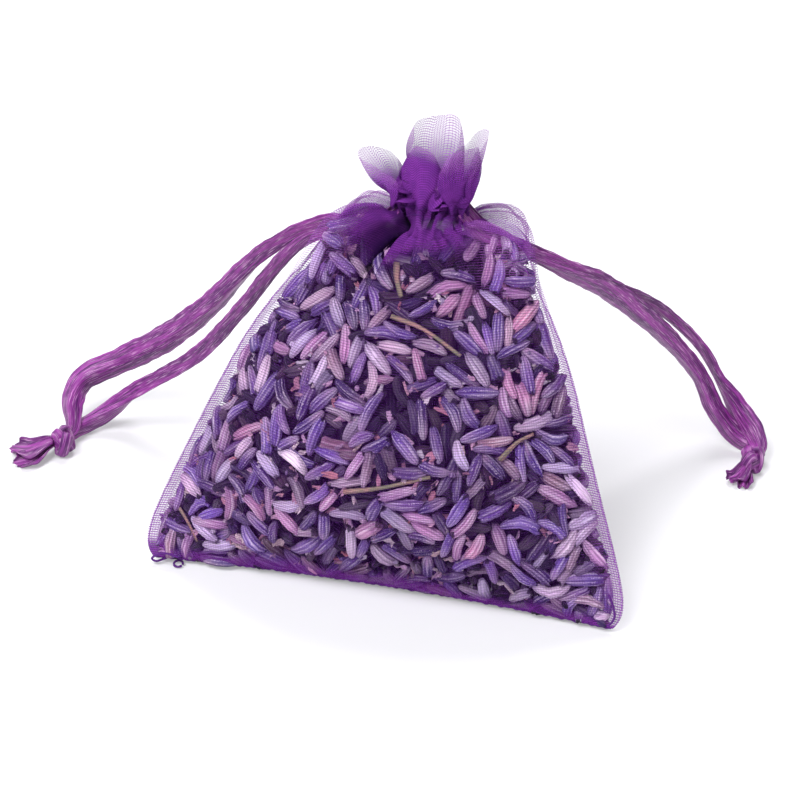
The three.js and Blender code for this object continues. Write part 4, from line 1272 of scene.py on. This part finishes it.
            looks = {"tint": np.repeat(tints[chosen], rings * sides, 0),
                     "lot": np.repeat(lot[chosen], rings * sides)}
            piece = make_piece(f"{side}_buds", self.form.metres(points[chosen]), placed, finish, maps, looks)
            dress(piece, "bag", "lavender_bud", *(solids if side == "front" else []))

    def petals(self):
        """Crumpled florets between buds and cloth: small grids, cupped and ruffled, in their own colours."""
        form, random, n = self.form, self.random, 6
        centre = self.scatter(self.floret_count, 0.45, 1.3)
        count = len(centre)
        inward = form.depth(centre, self.top)[1]
        first = unit(np.cross(inward, random.normal(0, 1, (count, 3))))
        second = np.cross(inward, first)
        a, b = np.linspace(-1, 1, n)[:, None], np.linspace(-1, 1, n)
        size = random.uniform(0.4, 1.2, (count, 1, 1))
        slim = random.uniform(0.2, 0.6, (count, 1, 1))
        phase = random.uniform(0, 6.3, (count, 1, 1))
        lift = 0.35 * (np.sin(2.6 * a + phase) * np.cos(2.9 * b + 2 * phase) + 0.4 * np.sin(6 * b + phase))
        edge = 1 - 0.25 * a * a + 0.12 * np.sin(5 * a + phase)
        points = (centre[:, None, None] + first[:, None, None] * (size * (a + 0 * b))[..., None]
                  + second[:, None, None] * (size * slim * edge * b)[..., None]
                  + inward[:, None, None] * (lift + 0.3)[..., None])
        keep_above(points, 0.15)
        quads, row, column = grid_faces(n, n)
        placed, maps = copies(count, n * n, [quads], (column.ravel() / (n - 1), row.ravel() / (n - 1)))
        pale, salmon = srgb(226, 206, 226), srgb(198, 130, 154)
        tints = self.tints(count, [(0.45, self.plan.petal), (0.3, pale), (0.25, salmon)])
        colours = np.repeat(np.column_stack([tints, np.ones(count)]), n * n, 0)
        piece = make_piece("florets", form.metres(points), placed, petal_finish(), maps, {"tint": colours})
        dress(piece, "bag", "lavender_bud")

    def seeds(self):
        """Round seeds and crumbs against the cloth: small uneven balls of five rings and seven sides."""
        random, rows, sides = self.random, 5, 7
        centre = self.scatter(self.seed_count, 0.7, 1.4)
        count = len(centre)
        size = random.uniform(0.25, 0.6, (count, 1, 1, 1)) * random.uniform(0.75, 1.25, (count, 1, 1, 3))
        points = centre[:, None, None] + ball(rows, sides, 0.25) * size
        keep_above(points, 0.12)
        blocks, row, column = tube_blocks(rows, sides)
        placed, maps = copies(count, rows * sides, blocks, (column / sides, 0.3 + 0.3 * row / (rows - 1)))
        tints = self.tints(count, [(0.5, self.plan.grey), (0.3, self.plan.violet), (0.2, self.plan.mauve)])
        colours = np.repeat(np.column_stack([tints, np.ones(count)]), rows * sides, 0)
        looks = {"tint": colours, "lot": np.repeat(np.arange(count) * 1.7, rows * sides)}
        piece = make_piece(
            "seeds", self.form.metres(points), placed, bpy.data.materials["dried_bud"], maps, looks)
        dress(piece, "bag", "lavender_bud")

    def stalks(self, paths):
        """Broken stems: four-ribbed tubes that taper and bend a little."""
        rows, sides = len(paths[0]), 8
        t = np.linspace(0, 1, rows)
        rib = (1 - 0.16 * (np.arange(sides) % 2))[:, None]
        rings = []
        for path, radius in zip(paths, self.stem_radii):
            taper = radius * (1 - 0.3 * t) * (1 + 0.08 * np.sin(9 * t))
            ring = tube(path, taper, sides, (0.2, 1, 0.1))
            rings.append(path[:, None] + (ring - path[:, None]) * rib)
        blocks, row, column = tube_blocks(rows, sides)
        placed, maps = copies(len(paths), rows * sides, blocks, (column / sides, t[row]))
        piece = make_piece("stalks", self.form.metres(np.stack(rings)), placed, stalk_finish(), maps)
        dress(piece, "bag", "lavender_stem", "stem_1", "stem_2", "stem_3")


class SACHET_PT_panel(bpy.types.Panel):
    """Sizes, colours and steps of the sachet"""

    bl_idname = "SACHET_PT_panel"
    bl_label = "Lavender sachet"
    bl_space_type = "VIEW_3D"
    bl_region_type = "UI"
    bl_category = "Sachet"

    def draw(self, context):
        for name, (_, operator) in STEPS.items():
            box = self.layout.box()
            box.operator(operator.bl_idname)
            group = getattr(context.scene, f"sachet_{name}")
            for key in group.__annotations__:
                box.prop(group, key)


# The sizes and the operator of each step
STEPS = {
    "stage": (SachetStage, SACHET_OT_stage),
    "ribbon": (SachetRibbon, SACHET_OT_ribbons),
    "cloth": (SachetCloth, SACHET_OT_cloth),
    "lavender": (SachetLavender, SACHET_OT_lavender),
}


def register():
    for name, (group, operator) in STEPS.items():
        bpy.utils.register_class(group)
        setattr(bpy.types.Scene, f"sachet_{name}", bpy.props.PointerProperty(type=group))
        bpy.utils.register_class(operator)
    bpy.utils.register_class(SACHET_PT_panel)


def unregister():
    bpy.utils.unregister_class(SACHET_PT_panel)
    for name, (group, operator) in STEPS.items():
        bpy.utils.unregister_class(operator)
        delattr(bpy.types.Scene, f"sachet_{name}")
        bpy.utils.unregister_class(group)


def main():
    register()
    bpy.ops.sachet.stage()
    bpy.ops.sachet.ribbons()
    bpy.ops.sachet.cloth()
    bpy.ops.sachet.lavender()


if __name__ == "__main__":
    main()
